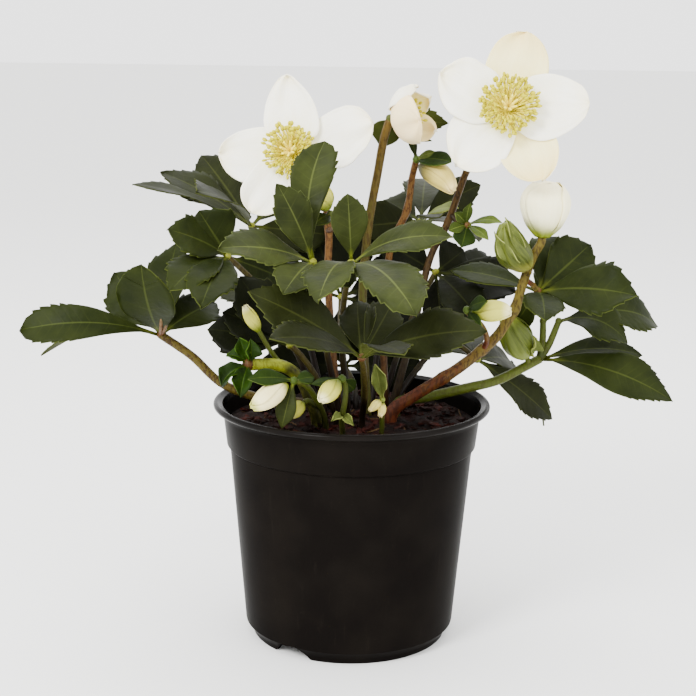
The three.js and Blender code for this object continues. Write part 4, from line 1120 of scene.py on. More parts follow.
LEAVES: tuple[Leaf, ...] = (
    Leaf(
        "left_low", ((-16, -4, 111), (-39, -4, 114), (-61, -5, 122), (-75.5, -4, 135), (-90, -4, 145)),
        hand(
            (-152.6, 25, 126.2, 9, 90, 80, 12), (-113.5, 12, 171.5, 26, -105, 25, 6),
            (-85, 24, 184.5, 22, -105, 20, 6), (-66.5, 24, 155.5, 22, -80, 50, 8),
        ) + (
            Blade((-152, -22, 150), 19, -85, 35, 17, cut=OBOVATE),
            Blade((-94, -36, 182.5), 28, -100, 15, 8, cut=SMOOTH),
        ),
        tone=Tone.SIDE, stalk_radius=2.3, stalk_skin=SPECKLED_STALK, hub_skin=HUB_RED,
        petioles=(
            ((-90, -4, 145), (-88.5, -14, 151), (-87, -22, 160)),
            ((-90, -4, 145), (-86.5, -13, 150.5), (-84.5, -20, 158)),
        ),
    ),
    Leaf(
        "left_high", ((-14, 14, 108), (-23, 22, 143), (-36, 30, 174), (-50, 34, 192)),
        hand(
            (-103, 6, 215.5, 15, -90, 75, 5), (-95, 40, 217, 23, -90, 65, 6),
            (-77, 62, 223.5, 25, -85, 30, 6), (-72, -12, 213, 28, -100, 45, 8),
            (-28, 66, 209, 21, -35, 60, 8), (-12, 50, 186, 20, -90, 10, 6),
        ),
        tone=Tone.DEEP,
    ),
    Leaf(
        "left_mid", ((-15, -8, 110), (-29, -8, 144), (-45, -8, 170), (-58, -8, 183)),
        hand(
            (-83.8, -25, 197, 21, -100, 40, 8), (-70.5, -14, 204.5, 26, -95, 25, 6),
            (-80, -46, 173, 22, -105, 35, 10), (-66, -54, 167, 22, -90, 30, 10),
            (-78, 44, 172, 22, -135, 75, 8), (-34, 22, 168, 20, -90, 15, 6),
        ),
        tone=Tone.SIDE,
    ),
    Leaf(
        "front_left", ((-6, -14, 111), (-12, -22, 143), (-16, -34, 168), (-18, -42, 186)),
        hand(
            (-57, -66, 195, 23, -85, 55, 8), (-33, -52, 221, 17.5, -70, 20, 6),
            (-29, -76, 178, 19, -90, 35, 8), (-1, -66, 179, 19, -80, 60, 5),
        ) + (Blade((-13.5, -30, 238), 19, -95, 15, 6, sway=8, cut=OBOVATE),),
    ),
    Leaf(
        "front_right", ((-2, -12, 111), (-5, -22, 147), (-4, -36, 168), (-1, -50, 187)),
        hand((42, -66, 200, 19, -90, 55, 14), (-14, -100, 179, 21, -110, 50, 12)) + (
            Blade((-3, -54, 217.5), 16, -85, 15, 5, cut=replace(SPARSE, acute=0.15)),
            Blade((25.5, -100, 172), 26, -75, 50, 14, crimp=0.6, cut=ROUNDED),
        ),
    ),
    Leaf(
        "front_low", ((5, -20, 110), (6, -36, 127), (5, -50, 140), (4, -58, 147)),
        hand(
            (-45, -72, 177, 24, -80, 40, 8), (-34, -103.6, 163, 21, -90, 55, 8),
            (56, -76, 163, 24, -95, 45, 10), (21, -103.6, 157, 19, -90, 85, 10),
            (18, -34, 168, 17, -75, 30, 5), (2, -34, 168, 17, -105, 30, 5),
        ),
        tone=Tone.DEEP, hub_skin=HUB_RED,
    ),
    Leaf(
        "right_low", ((22, 2, 112), (35, 2, 115), (56, 3, 120), (69, 5, 123), (82, 8, 129), (90, 10, 133)),
        (
            Blade((150.7, -8, 117.3), 22, -80, 40, 14, cut=SPARSE),
            Blade((141, 20, 133.5), 16, -90, 55, 11, cut=SPARSE),
        ),
        tone=Tone.SIDE, stalk_radius=2.6, stalk_skin=GREEN_STALK, hub_skin=GREEN_STALK,
        branch=((83.4, 8.3, 129.8), (84, 7.4, 132.2), (83.1, 7.0, 134.3)),
        sprigs=(
            Sprig(((90, 10, 133), (91, 11, 142), (91, 12, 151)), hand((100, 32, 182, 20, -90, 20, 6))),
            Sprig(
                ((90, 10, 133), (94, 11, 139.5), (98.5, 12, 151)),
                hand((130, 2, 143.5, 21, -85, 50, 26), (149, 26, 146.5, 21, -85, 45, 22)),
            ),
        ),
    ),
    Leaf(
        "right_stem", (),
        hand(
            (127.8, -26, 170.6, 28, -85, 40, 8), (111.5, 10, 188.5, 25, -75, 25, 6),
            (97, 16, 191.5, 24, -90, 20, 5), (85, -40, 161, 19, -85, 30, 8),
            (46.5, 16, 174, 16, -95, 60, 6), (78, 14, 149, 13, -95, 15, 6),
        ),
        tone=Tone.SIDE, hub=(86, -4, 168), hub_skin=HUB_RED,
    ),
    Leaf(
        "right_back", ((22, 14, 110), (29, 20, 121), (42, 28, 134), (52, 34, 134), (62, 34, 127)),
        hand(
            (102.5, 44, 94.5, 19, -75, 40, 4), (81, 60, 120, 19, -70, 50, 8), (103, 76, 83, 17, -70, 55, 10),
            (46, 70, 127, 19, -110, 70, 8), (58, 90, 131, 19, -90, 65, 8),
        ),
        tone=Tone.DEEP,
    ),
    Leaf(
        "mid_right", ((16, 20, 108), (23, 26, 133), (33, 30, 157), (40, 30, 171)),
        hand(
            (78, 16, 164, 28, -80, 40, 8), (76, 50, 169.5, 23, -80, 50, 6), (43, 18, 145, 17, -90, 20, 6),
            (60, 0, 153, 21, -85, 30, 8), (54, 37, 181, 20, -90, 15, 6), (14, 32, 186, 22, -90, 10, 6),
        ),
        tone=Tone.SHADED,
    ),
    Leaf(
        "high_back", ((10, 20, 109), (14, 34, 141), (23, 44, 172), (33, 46, 194)),
        (
            *hand(
                (61.5, 40, 213, 19, -80, 40, 8), (13, 62, 202, 21, -100, 55, 6),
                (41, 20, 199.5, 15, -90, 60, 8), (37, 90, 210, 21, -90, 80, 10),
                (66, 84, 180, 21, -45, 75, 10), (4, 38, 192, 23, -90, 15, 6),
            ),
            # Painted highlight: this small folded blade is pale green, for the yellow-green light on the
            # upper side of a leaf here.
            Blade((50, 22, 203), 9, -80, 45, 10, tone=Tone.PALE),
        ),
        tone=Tone.DEEP,
    ),
    Leaf(
        "left_inner", ((-8, -10, 110), (-17, -12, 128), (-24, -13, 138), (-29, -14, 143)),
        hand(
            (-67, -15, 149.5, 25, -90, 40, 8), (-60, -14, 158, 20, -95, 40, 8),
            (-52, -16, 175, 22, -90, 15, 6),
        ),
        tone=Tone.SHADED, own_stalk=False,
    ),
    Leaf(
        "back_left", ((-4, 16, 109), (-12, 34, 128), (-22, 50, 142), (-30, 60, 150)),
        hand(
            (-70, 70, 152, 21, -120, 60, 8), (-50, 100, 150, 22, 110, 60, 8),
            (-18, 103.8, 156, 22, 80, 60, 8), (-2, 84, 166, 19, 60, 70, 8),
        ),
        tone=Tone.DEEP, own_stalk=False,
    ),
    Leaf(
        "mid_back", ((-2, 20, 108), (-4, 28, 125), (-6, 36, 143), (-6, 42, 156)),
        hand(
            (-50, 54, 166, 24, -92, 10, 6), (-25, 60, 196, 24, -90, 12, 6), (2, 46, 198, 24, -90, 12, 6),
            (34, 54, 172, 24, -88, 12, 6), (32, 58, 146, 22, -88, 12, 6), (0, 45, 126, 22, -90, 12, 6),
        ),
        tone=Tone.SHADED, own_stalk=False,
    ),
    Leaf(
        "back_low", ((2, 22, 108), (1, 34, 113), (-2, 45, 117), (-4, 51, 119)),
        hand(
            (-46, 36, 124, 22, -92, 12, 6), (36, 46, 121, 22, -88, 12, 6), (-22, 58, 140, 20, -95, 15, 6),
            (16, 58, 140, 20, -85, 15, 6),
        ),
        tone=Tone.SHADED, own_stalk=False,
    ),
)


# --- stems


SOIL_TOP = 105.0
ROOT_DEPTH = 12.0


@dataclass(frozen=True)
class Stem:
    """A stem or stalk that rises from the soil, with its side branches."""

    path: Route
    radius: float
    skin: StemSkin
    taper: float = 0.85
    branches: tuple[Route, ...] = ()
    knuckles: tuple[float, ...] = ()
    branch_radius: float = 1.3

    def branch_thickness(self, t: float) -> float:
        """The radius of a side branch at a share of its length."""
        return self.branch_radius * mix(1.08, 0.92, t)

    def thickness(self, t: float) -> float:
        """The stem's radius, with a sheathed foot and swollen knuckles.

        Args:
            t: The share of its length.

        Returns:
            The radius in mm.
        """
        swell = 1 + 0.22 * (1 - smoothstep(t, 0.06, 0.22))
        for at in self.knuckles:
            swell += 0.2 * math.exp(-(((t - at) / 0.018) ** 2))
        lumps = 1 + 0.04 * noise.noise((t * 22, self.radius, 0))
        return self.radius * mix(1.0, self.taper, t) * swell * lumps

    def raised(self) -> list[Piece]:
        """The stem from its root in the soil, and its branches.

        Returns:
            The bars.
        """
        x, y, _ = self.path[0]
        root = (x * 0.94, y * 0.94, SOIL_TOP - ROOT_DEPTH)
        pieces = [bar([root, *self.path], self.thickness, self.skin)]
        for branch in self.branches:
            pieces.append(bar(branch, self.branch_thickness, self.skin, spacing=1.5))
        return pieces


# --- flowers


Profile = Callable[[float], tuple[float, float]]
Outline = tuple[tuple[float, float], ...]


def open_cup(a: float) -> tuple[float, float]:
    """Radius and height at arc length a of a flower laid wide open."""
    return a, 0.0042 * a * a


def half_cup(a: float) -> tuple[float, float]:
    """Radius and height at arc length a of a flower half open."""
    return 2.5 + 10.5 * math.sin(min(1.45, a / 11)), 0.2 * a + 0.022 * a * a


def traced(outline: Outline, t: float) -> float:
    """The half width at a share of a petal's length, along a rounded outline.

    Args:
        outline: Shares of the length and half widths, from the root outwards.
        t: The share.

    Returns:
        The half width in mm.
    """
    stations = ((0.0, 3.0), (0.1, 4.0), *outline)
    last, end = stations[-1]
    if t >= last:
        return end * math.sqrt(max(0.0, (1 - t) / (1 - last)))
    for (low, a), (high, b) in zip(stations, stations[1:]):
        if t <= high:
            return mix(a, b, (t - low) / (high - low))
    return end


class Crease(NamedTuple):
    """A fold in a petal: from one share and side to another, and how far it stands."""

    start: tuple[float, float]
    end: tuple[float, float]
    height: float
    width: float = 0.12


@dataclass(frozen=True)
class Petal:
    """A petal-like sepal on a cup of revolution, in one of three layers.

    The half widths to the clockwise and anticlockwise side may be given by outlines.
    """

    angle: float
    length: float
    width: float
    layer: int = 0
    curl: float = 0.0
    blunt: float = 0.6
    fullest: float = 0.6
    skew: float = 0.0
    face: Finish = WHITE_SEPAL
    back: Finish = SEPAL_BACK
    minus: Outline = ()
    plus: Outline = ()
    creases: tuple[Crease, ...] = ()

    def half(self, t: float, side: float) -> float:
        """Half the petal's width.

        Args:
            t: The share of its length.
            side: Below 0 for the clockwise side.

        Returns:
            The half width in mm.
        """
        outline = self.plus if side > 0 else self.minus
        if outline:
            near = [traced(outline, max(0.0, min(1.0, t + step))) for step in (-0.03, 0.0, 0.03)]
            return near[1] if t > 0.93 else sum(near) / 3
        power = math.log(0.5) / math.log(self.fullest)
        oval = self.width / 2 * math.sin(math.pi * min(1, t) ** power) ** self.blunt
        return max(oval, 3.0 if t < 0.2 else 0.0)

    def creased(self, t: float, side: float) -> float:
        """How far the folds lift the petal.

        Args:
            t: The share of its length.
            side: The place across it, -1 to 1.

        Returns:
            The lift in mm.
        """
        total = 0.0
        for fold in self.creases:
            (t0, s0), (t1, s1) = fold.start, fold.end
            run = (t1 - t0) ** 2 + (s1 - s0) ** 2
            share = max(0.0, min(1.0, ((t - t0) * (t1 - t0) + (side - s0) * (s1 - s0)) / run))
            gap = math.hypot(t - mix(t0, t1, share), (side - mix(s0, s1, share)) * 0.5)
            total += fold.height * math.exp(-((gap / fold.width) ** 2)) * (0.4 + 0.6 * share)
        return total

    def raised(self, profile: Profile, frame: Matrix, seed: int) -> Piece:
        """The petal, laid on its flower's cup.

        Args:
            profile: The cup.
            frame: The flower's frame in the plant.
            seed: The seed of its small waves.

        Returns:
            The petal's sheet.
        """
        rng = random.Random(SEED * 77 + seed)
        rows = 30
        layer_step = 1.3
        phases = [rng.random() * PHASE for _ in range(4)]

        def place(side: float, row: int) -> Spot:
            """The spot on the cup, lifted by the petal's waves and folds."""
            t = mix(0.06, 1.0, 1 - (1 - row / rows) ** 1.45)
            wide = self.half(t, side) if row < rows else 0.0
            a = t * self.length
            edge = abs(side) ** 4
            a += edge * math.sin(phases[0] + 9 * t) * 0.35 * smoothstep(t, 0.5, 0.8)
            radius, height = profile(a)
            next_radius, next_height = profile(a + 0.5)
            run = Vector((next_radius - radius, next_height - height)).normalized()
            free = smoothstep(t, 0.35, 0.95)
            wave = math.sin(phases[1] + 5.2 * side + 2.5 * t) * 0.35 + math.sin(phases[2] + 9 * side) * 0.18
            wave += math.sin(phases[3] + 7.5 * t) * 0.5 * abs(side)
            fold = -0.5 * math.exp(-((side / 0.16) ** 2)) * smoothstep(t, 0.1, 0.4) * (1 - 0.6 * t)
            lift = smoothstep(a, 3, 10) * self.layer * layer_step
            lift += free * wave * 2.1 + fold * 0.8 + self.curl * self.length * t**3
            lift += 0.9 * free * side * side + self.creased(t, side)
            turn = math.radians(self.angle + self.skew * t * t) + side * wide / max(radius, 3.2)
            r = radius - run.y * lift
            h = height + run.x * lift
            return Spot(frame @ Vector((r * math.cos(turn), r * math.sin(turn), h)), t, t)

        return sheet(Cut(22, rows, 0.45), place, self.face, self.back)


@dataclass(frozen=True)
class Tuft:
    """The stamens of one flower round its carpels, with the ring of nectaries at their foot."""

    stamens: int
    reach: float
    spread: float
    seat: float
    nectaries: int = 13
    carpels: int = 7
    dome: float = 4.4
    anther: float = 1.0

    def stamen(self) -> Piece:
        """One stamen, a bowed filament with a two-lobed anther.

        Returns:
            The stamen, standing on the origin.
        """
        bow = ((0, 0, 0), (0.4, 0, 0.5), (0.1, 0, 1.0))
        filament = bar(bow, lambda t: 0.3, FILAMENT, spacing=0.25, round_=0)
        for vertex in filament.data.vertices:
            vertex.co.z *= self.reach * 0.86
        anther = primitive(bpy.ops.mesh.primitive_uv_sphere_add, segments=8, ring_count=5, radius=1.0)
        size = self.anther
        for vertex in anther.data.vertices:
            x, y, z = vertex.co
            pinch = 1 - 0.22 * math.cos(x * 3.1)
            spot = (x * 0.95 * size, y * 0.7 * size * pinch, z * 1.35 * size + self.reach * 0.9)
            vertex.co = Vector(spot) * MM
        dress(anther, ANTHER)
        return joined([filament, anther])

    def raised(self, frame: Matrix, seed: int) -> list[Piece]:
        """The dome, the stamens, the nectaries and the carpels' styles.

        Args:
            frame: The flower's frame in the plant.
            seed: The seed of the stamens' lean.

        Returns:
            The parts.
        """
        rng = random.Random(SEED * 31 + seed)
        seated = frame @ Matrix.Translation((0, 0, self.seat))
        first = self.stamen()
        pieces = []
        for i in range(self.stamens):
            share = (i + 0.5) / self.stamens
            lean = math.radians(mix(14, self.spread, share**0.42) + (rng.random() - 0.5) * 12)
            turn = math.radians(i * GOLDEN_ANGLE + (rng.random() - 0.5) * 16)
            foot = mix(1.6, 4.4, math.sqrt(share))
            size = mix(0.78, 1.04, rng.random())
            stand = (
                seated @ Matrix.Rotation(turn, 4, "Z") @ Matrix.Translation((foot, 0, 0.6))
                @ Matrix.Rotation(lean, 4, "Y") @ Matrix.Diagonal((1.0, 1.0, size, 1.0))
                @ Matrix.Rotation(rng.random() * PHASE, 4, "Z")
            )
            pieces.append(copied(first, stand))
        for i in range(self.nectaries):
            turn = math.radians(360 * i / self.nectaries + rng.random() * 6)
            out = Vector((math.cos(turn), math.sin(turn), 0))
            path = [seated @ (out * r + Vector((0, 0, z))) for r, z in ((4.6, 0.3), (6.0, 1.6), (7.2, 3.4))]
            pieces.append(bar(path, lambda t: mix(0.5, 0.95, t), NECTARY, 1.2, 1))
        for i in range(self.carpels):
            turn = math.radians(360 * i / self.carpels + 20)
            out = Vector((math.cos(turn), math.sin(turn), 0))
            stops = ((0.9, 0.8), (1.7, 5), (3.4, self.reach * 0.86))
            path = [seated @ (out * r + Vector((0, 0, z))) for r, z in stops]
            pieces.append(bar(path, lambda t: mix(1.1, 0.42, t), STYLE, 1.5, 1))
        bpy.data.objects.remove(first)
        dome = [seated @ Vector((0, 0, z)) for z in (0, 1.1, 2.3)]
        pieces.append(bar(dome, lambda t: self.dome * mix(1, 0.45, t), NECTARY, 0.6, 3))
        return pieces


def copied(piece: Piece, stand: Matrix) -> Piece:
    """A copy with a mesh of its own, moved by a matrix in millimetres.

    Args:
        piece: The piece that repeats, at the origin.
        stand: Where the copy goes.

    Returns:
        The copy, with its place in its mesh.
    """
    copy = piece.copy()
    copy.data = piece.data.copy()
    metres = stand.copy()
    metres.translation = stand.translation * MM
    copy.data.transform(metres)
    bpy.context.collection.objects.link(copy)
    return copy


@dataclass(frozen=True)
class Flower:
    """An open or half-open flower on its stem."""

    name: str
    centre: Triple
    normal: Triple
    cup: Profile
    petals: tuple[Petal, ...]
    tuft: Tuft
    stem: Stem
    to_flower: bool = True

    def frame(self) -> Matrix:
        """+Z along the way that it faces, +Y as near up as that allows."""
        z = Vector(self.normal).normalized()
        x = Vector((0, 0, 1)).cross(z).normalized()
        turned = Matrix((x, z.cross(x), z)).transposed().to_4x4()
        return Matrix.Translation(self.centre) @ turned

    def build(self, seed: int) -> None:
        """Builds the petals, the stamens and the stem.

        Args:
            seed: The flower's seed.
        """
        frame = self.frame()
        heart = bar(
            [frame @ Vector((0, 0, z)) for z in (-3.2, -1.6, 0.3)],
            lambda t: mix(2.0, 4.3, t**0.8), SEPAL_BACK, spacing=0.7,
        )
        petals = [petal.raised(self.cup, frame, seed * 10 + k) for k, petal in enumerate(self.petals)]
        name, title = self.name, self.name.upper()
        settle(f"Flower{title}Petals", [heart, *petals], f"flower_{name}_petals", "petal_white")
        tuft = self.tuft.raised(frame, seed)
        settle(f"Flower{title}Stamens", tuft, f"flower_{name}_stamens", "stamen_yellow")
        path = self.stem.path
        if self.to_flower:
            path = (*path, tuple(frame @ Vector((0, 0, -5.5))), tuple(frame @ Vector((0, 0, -2.8))))
        settle(f"Stem{title}", replace(self.stem, path=path).raised(), f"stem_{name}", "flower_stem")


# --- buds


@dataclass(frozen=True)
class Bud:
    """A closed bud of lapped sepals round a core."""

    base: Triple
    tip: Triple
    radius: float
    skin: Finish = BUD_CREAM
    full: float = 0.52
    bow: Triple = (0.0, 0.0, 0.0)
    sepals: int = 5
    span: float = 62.0
    twist: float = 50.0
    lap: float = 0.55
    ridge: float = 0.0
    pleat: float = 0.0
    bluff: float = 0.62
    first: float = 0.0

    def swell(self, t: float) -> float:
        """The bud's radius at a share of its length."""
        power = math.log(0.5) / math.log(self.full)
        inner = math.sin(math.pi * min(1.0, 0.06 + 0.9 * max(0.0, t)) ** power)
        return max(0.5, self.radius * max(0.0, inner) ** self.bluff)

    def axis(self, t: float) -> Vector:
        """The point on the bud's bowed axis at a share of its length."""
        a, b = Vector(self.base), Vector(self.tip)
        return a.lerp(b, t) + Vector(self.bow) * 4 * t * (1 - t)

    def raised(self, seed: int) -> list[Piece]:
        """The core and the sepals that lap round it.

        Args:
            seed: The seed of the sepals' small differences.

        Returns:
            The parts.
        """
        rng = random.Random(SEED * 53 + seed)
        way = (Vector(self.tip) - Vector(self.base)).normalized()
        right = way.cross(Vector((0, -1, 0.2))).normalized()
        front = right.cross(way).normalized()
        inner = [self.axis(t) for t in (0, 0.25, 0.5, 0.75, 1)]
        pieces = [bar(inner, lambda t: max(0.3, (self.swell(t) - 0.55) * 0.97), self.skin, 0.9, 4)]
        rows = 24
        for k in range(self.sepals):
            shift, _, start = (rng.random() for _ in range(3))
            middle = self.first + 360 / self.sepals * k + shift * 8
            phase = start * PHASE

            def place(side: float, row: int) -> Spot:
                """The spot on the bud, with one edge over the next sepal and one under."""
                t = row / rows
                round_off = math.sqrt(max(0.0, 1 - max(0.0, (t - 0.72) / 0.28) ** 2.2))
                spread = self.span * mix(0.9, 1.0, smoothstep(t, 0, 0.4)) * max(round_off, 0.05)
                turn = math.radians(middle + side * spread + self.twist * t)
                over = mix(-0.25, self.lap, (side + 1) / 2) * smoothstep(t, 0.02, 0.25)
                over += self.ridge * math.sin(side * 9 + phase + 7 * t) * smoothstep(t, 0.05, 0.3)
                over += self.pleat * math.sin(side * 10 + phase) * (1 - smoothstep(t, 0.08, 0.42))
                over += 0.12 * math.sin(phase + 6 * t)
                reach = self.swell(t) + over - 0.3
                reach += smoothstep(t, 0.9, 1.0) * 0.2
                out = right * math.cos(turn) + front * math.sin(turn)
                return Spot(self.axis(t) + out * max(reach, 0.35), t, t)

            pieces.append(sheet(Cut(16, rows, 0.4, mirror=True), place, self.skin, self.skin))
        return pieces


@dataclass(frozen=True)
class BudPiece:
    """A bud in its node, with the bracts below it in theirs."""

    name: str
    bud: Bud
    slot: str = "bud_cream"
    knot: Triple | None = None
    bracts: tuple[Blade, ...] = ()
    tone: Tone = Tone.BRACT
    wraps: tuple[Blade, ...] = ()

    def build(self, seed: int) -> None:
        """Builds the bud and its bracts.

        Args:
            seed: The bud's seed.
        """
        parts = self.bud.raised(seed)
        for k, blade in enumerate(self.wraps):
            parts += blade.raised(Vector(self.bud.base), CRUMPLED, Tone.PALE, seed * 10 + 5 + k)
        settle(f"Bud{self.name.title()}", parts, f"bud_{self.name}", self.slot)
        if self.knot:
            bracts = Whorl(self.knot, self.bracts, self.tone, seed).raised()
            slot = "leaf_green" if self.tone is Tone.SIDE else "young_green"
            settle(f"Bud{self.name.title()}Bracts", bracts, f"bud_{self.name}_bracts", slot)


@dataclass(frozen=True)
class Whorl:
    """Bracts round the knuckle that they grow from."""

    knot: Triple
    blades: tuple[Blade, ...]
    tone: Tone
    seed: int
    size: float = 1.9
    cut: BladeCut = BRACT
    skin: Finish | None = None

    def raised(self) -> list[Piece]:
        """The knuckle, in the midrib's finish unless it has its own, and the bracts.

        Returns:
            The parts.
        """
        pieces = [ball(self.knot, (self.size, self.size, self.size), self.skin or RIB[self.tone])]
        for k, blade in enumerate(self.blades):
            pieces += blade.raised(Vector(self.knot), self.cut, self.tone, self.seed * 10 + k)
        return pieces


@dataclass(frozen=True)
class Shoot:
    """A stem, a shoot or a low bud in a node of its own: any stem, buds and bracts that it has."""

    name: str
    node: str
    slot: str
    stem: Stem | None = None
    buds: tuple[tuple[int, Bud], ...] = ()
    whorls: tuple[Whorl, ...] = ()

    def build(self) -> None:
        """Builds the stem, then the buds with their seeds, then the bracts."""
        parts = self.stem.raised() if self.stem else []
        for seed, bud in self.buds:
            parts += bud.raised(seed)
        for whorl in self.whorls:
            parts += whorl.raised()
        settle(self.name, parts, self.node, self.slot)


# --- the pot and the soil


@dataclass
class NurseryPot:
    """A 13 cm injection-moulded pot: rolled rim, collar, tapering wall and a notched foot ring."""

    height: float = 114
    rim_radius: float = 65.6
    rim_depth: float = 3.6
    collar_top: float = 60.8
    collar_foot: float = 59.2
    collar_z: float = 93.6
    step: float = 1.4
    base_radius: float = 50.2
    base_z: float = 6.4
    foot_radius: float = 46.6
    foot_width: float = 2.7
    foot_z: float = 2.8
    wall: float = 1.2
    floor_z: float = 5.6
    floor: float = 1.4
    bead: float = 1.5
    notches: int = 3
    first_notch: float = -34.5
    notch_width: float = 10.2
    notch_splay: float = 5.9
    notch_height: float = 6.1
    drain_radius: float = 3.5
    drain_at: float = 35
    steps: int = 144

    def profile(self) -> list[tuple[float, float]]:
        """The pot's section.

        Returns:
            Radius and height at each corner, from the floor's underside round to its top.
        """
        slope = (self.collar_foot - self.step - self.base_radius) / (self.collar_z - self.base_z)
        lip = self.height - self.rim_depth
        under = self.collar_z - 0.9
        inner = self.foot_radius - self.foot_width
        shoulder = self.base_radius + slope * (under - self.base_z)
        bead = self.rim_radius - self.bead
        bead_z = self.height - self.bead
        roll = [
            (bead + self.bead * math.cos(math.radians(a)), bead_z + self.bead * math.sin(math.radians(a)))
            for a in range(-80, 141, 15)
        ]
        return [
            (0, self.floor_z),
            (inner, self.floor_z),
            (inner, 0.3),
            (inner + 0.3, 0),
            (self.foot_radius - 0.4, 0),
            (self.foot_radius, 0.4),
            (self.foot_radius + 0.5, self.foot_z - 0.4),
            (self.foot_radius + 0.9, self.foot_z + 0.2),
            (self.base_radius - 0.6, self.base_z - 0.6),
            (self.base_radius - 0.1, self.base_z - 0.2),
            (self.base_radius + slope * 0.6, self.base_z + 0.6),
            (shoulder, under),
            (shoulder + 0.35, under + 0.1),
            (self.collar_foot - 0.25, self.collar_z - 0.1),
            (self.collar_foot, self.collar_z + 0.25),
            (self.collar_top, lip - 3),
            (self.collar_top + 0.5, lip - 1.4),
            (self.collar_top + 1.5, lip - 0.2),
            (self.rim_radius - 2.0, lip + 0.5),
            *roll,
            (self.rim_radius - 4.2, self.height - 1.2),
            (self.collar_top - 0.2, lip - 0.2),
            (self.collar_top - self.wall, lip - 4),
            (self.collar_foot - self.wall, self.collar_z + 0.8),
            (self.collar_foot - self.wall - self.step, self.collar_z - 1.2),
            (self.base_radius - self.wall, self.base_z + 1.6),
            (self.foot_radius - 0.9, self.floor_z + self.floor),
            (0, self.floor_z + self.floor),
        ]

    def cutter(self, degrees: float) -> Piece:
        """A splayed, rounded doorway block through the foot ring.

        Args:
            degrees: Its bearing round the axis.

        Returns:
            The block.
        """
        block = primitive(
            bpy.ops.mesh.primitive_cube_add, size=1,
            location=(0, -self.foot_radius * MM, (self.notch_height / 2 - 0.5) * MM),
            scale=(self.notch_width * MM, 10 * MM, (self.notch_height + 1) * MM),
        )
        bpy.ops.object.transform_apply(location=True, rotation=True, scale=True)
        for vertex in block.data.vertices:
            if vertex.co.z < 0:
                vertex.co.x += math.copysign(self.notch_splay * MM, vertex.co.x)
        for edge in block.data.edges:
            ends = [block.data.vertices[i].co for i in edge.vertices]
            edge.select = all(p.z > 0.003 for p in ends) and abs(ends[0].x - ends[1].x) < 1e-5
        bpy.ops.object.mode_set(mode="EDIT")
        bpy.ops.mesh.select_mode(type="EDGE")
        bpy.ops.mesh.bevel(offset=1.5 * MM, segments=4)
        bpy.ops.object.mode_set(mode="OBJECT")
        block.data.transform(Matrix.Rotation(math.radians(degrees), 4, "Z"))
        return block

    def build(self) -> None:
        """Spins the section, then cuts the notches and drain holes."""
        pot = spun("pot_section", self.profile(), self.steps)
        for i in range(self.notches):
            degrees = self.first_notch + 360 / self.notches * i
            turned = Matrix.Rotation(math.radians(degrees), 4, "Z")
            at = turned @ Vector((0, -self.drain_at * MM, self.floor_z * MM))
            drill = primitive(
                bpy.ops.mesh.primitive_cylinder_add,
                vertices=28, radius=self.drain_radius * MM, depth=8 * MM, location=at,
            )
            bpy.ops.object.transform_apply(location=True, rotation=True, scale=True)
            for tool in (drill, self.cutter(degrees)):
                cutting = pot.modifiers.new("cut", "BOOLEAN")
                cutting.operation = "DIFFERENCE"
                cutting.object = tool
                select_only(pot)
                bpy.ops.object.modifier_apply(modifier=cutting.name)
                bpy.data.objects.remove(tool)
        dress(pot, POT_PLASTIC, RIM_PLASTIC)
        for face in pot.data.polygons:
            face.material_index = 1 if face.center.z > (self.height - self.rim_depth + 0.9) * MM else 0
        select_only(pot)
        bpy.ops.object.shade_smooth_by_angle(angle=math.radians(32))
        settle("NurseryPot", [pot], "pot", "pot_plastic")


def spun(name: str, profile: Sequence[tuple[float, float]], steps: int) -> Piece:
    """A closed body spun from a section that starts and ends on the axis.

    Args:
        name: The mesh's name.
        profile: Radius and height at each corner.
        steps: The number of segments round.

    Returns:
        The spun body.
    """
    mesh = bpy.data.meshes.new(name)
    corners = [(r * MM, 0.0, h * MM) for r, h in profile]
    mesh.from_pydata(corners, [(i, i + 1) for i in range(len(corners) - 1)], [])
    body = bpy.data.objects.new(name, mesh)
    bpy.context.collection.objects.link(body)
    select_only(body)
    bpy.ops.object.mode_set(mode="EDIT")
    bpy.ops.mesh.select_all(action="SELECT")
    bpy.ops.mesh.spin(steps=steps, angle=2 * math.pi, center=(0, 0, 0), axis=(0, 0, 1))
    bpy.ops.object.mode_set(mode="OBJECT")
    weld(2e-6)
    return body


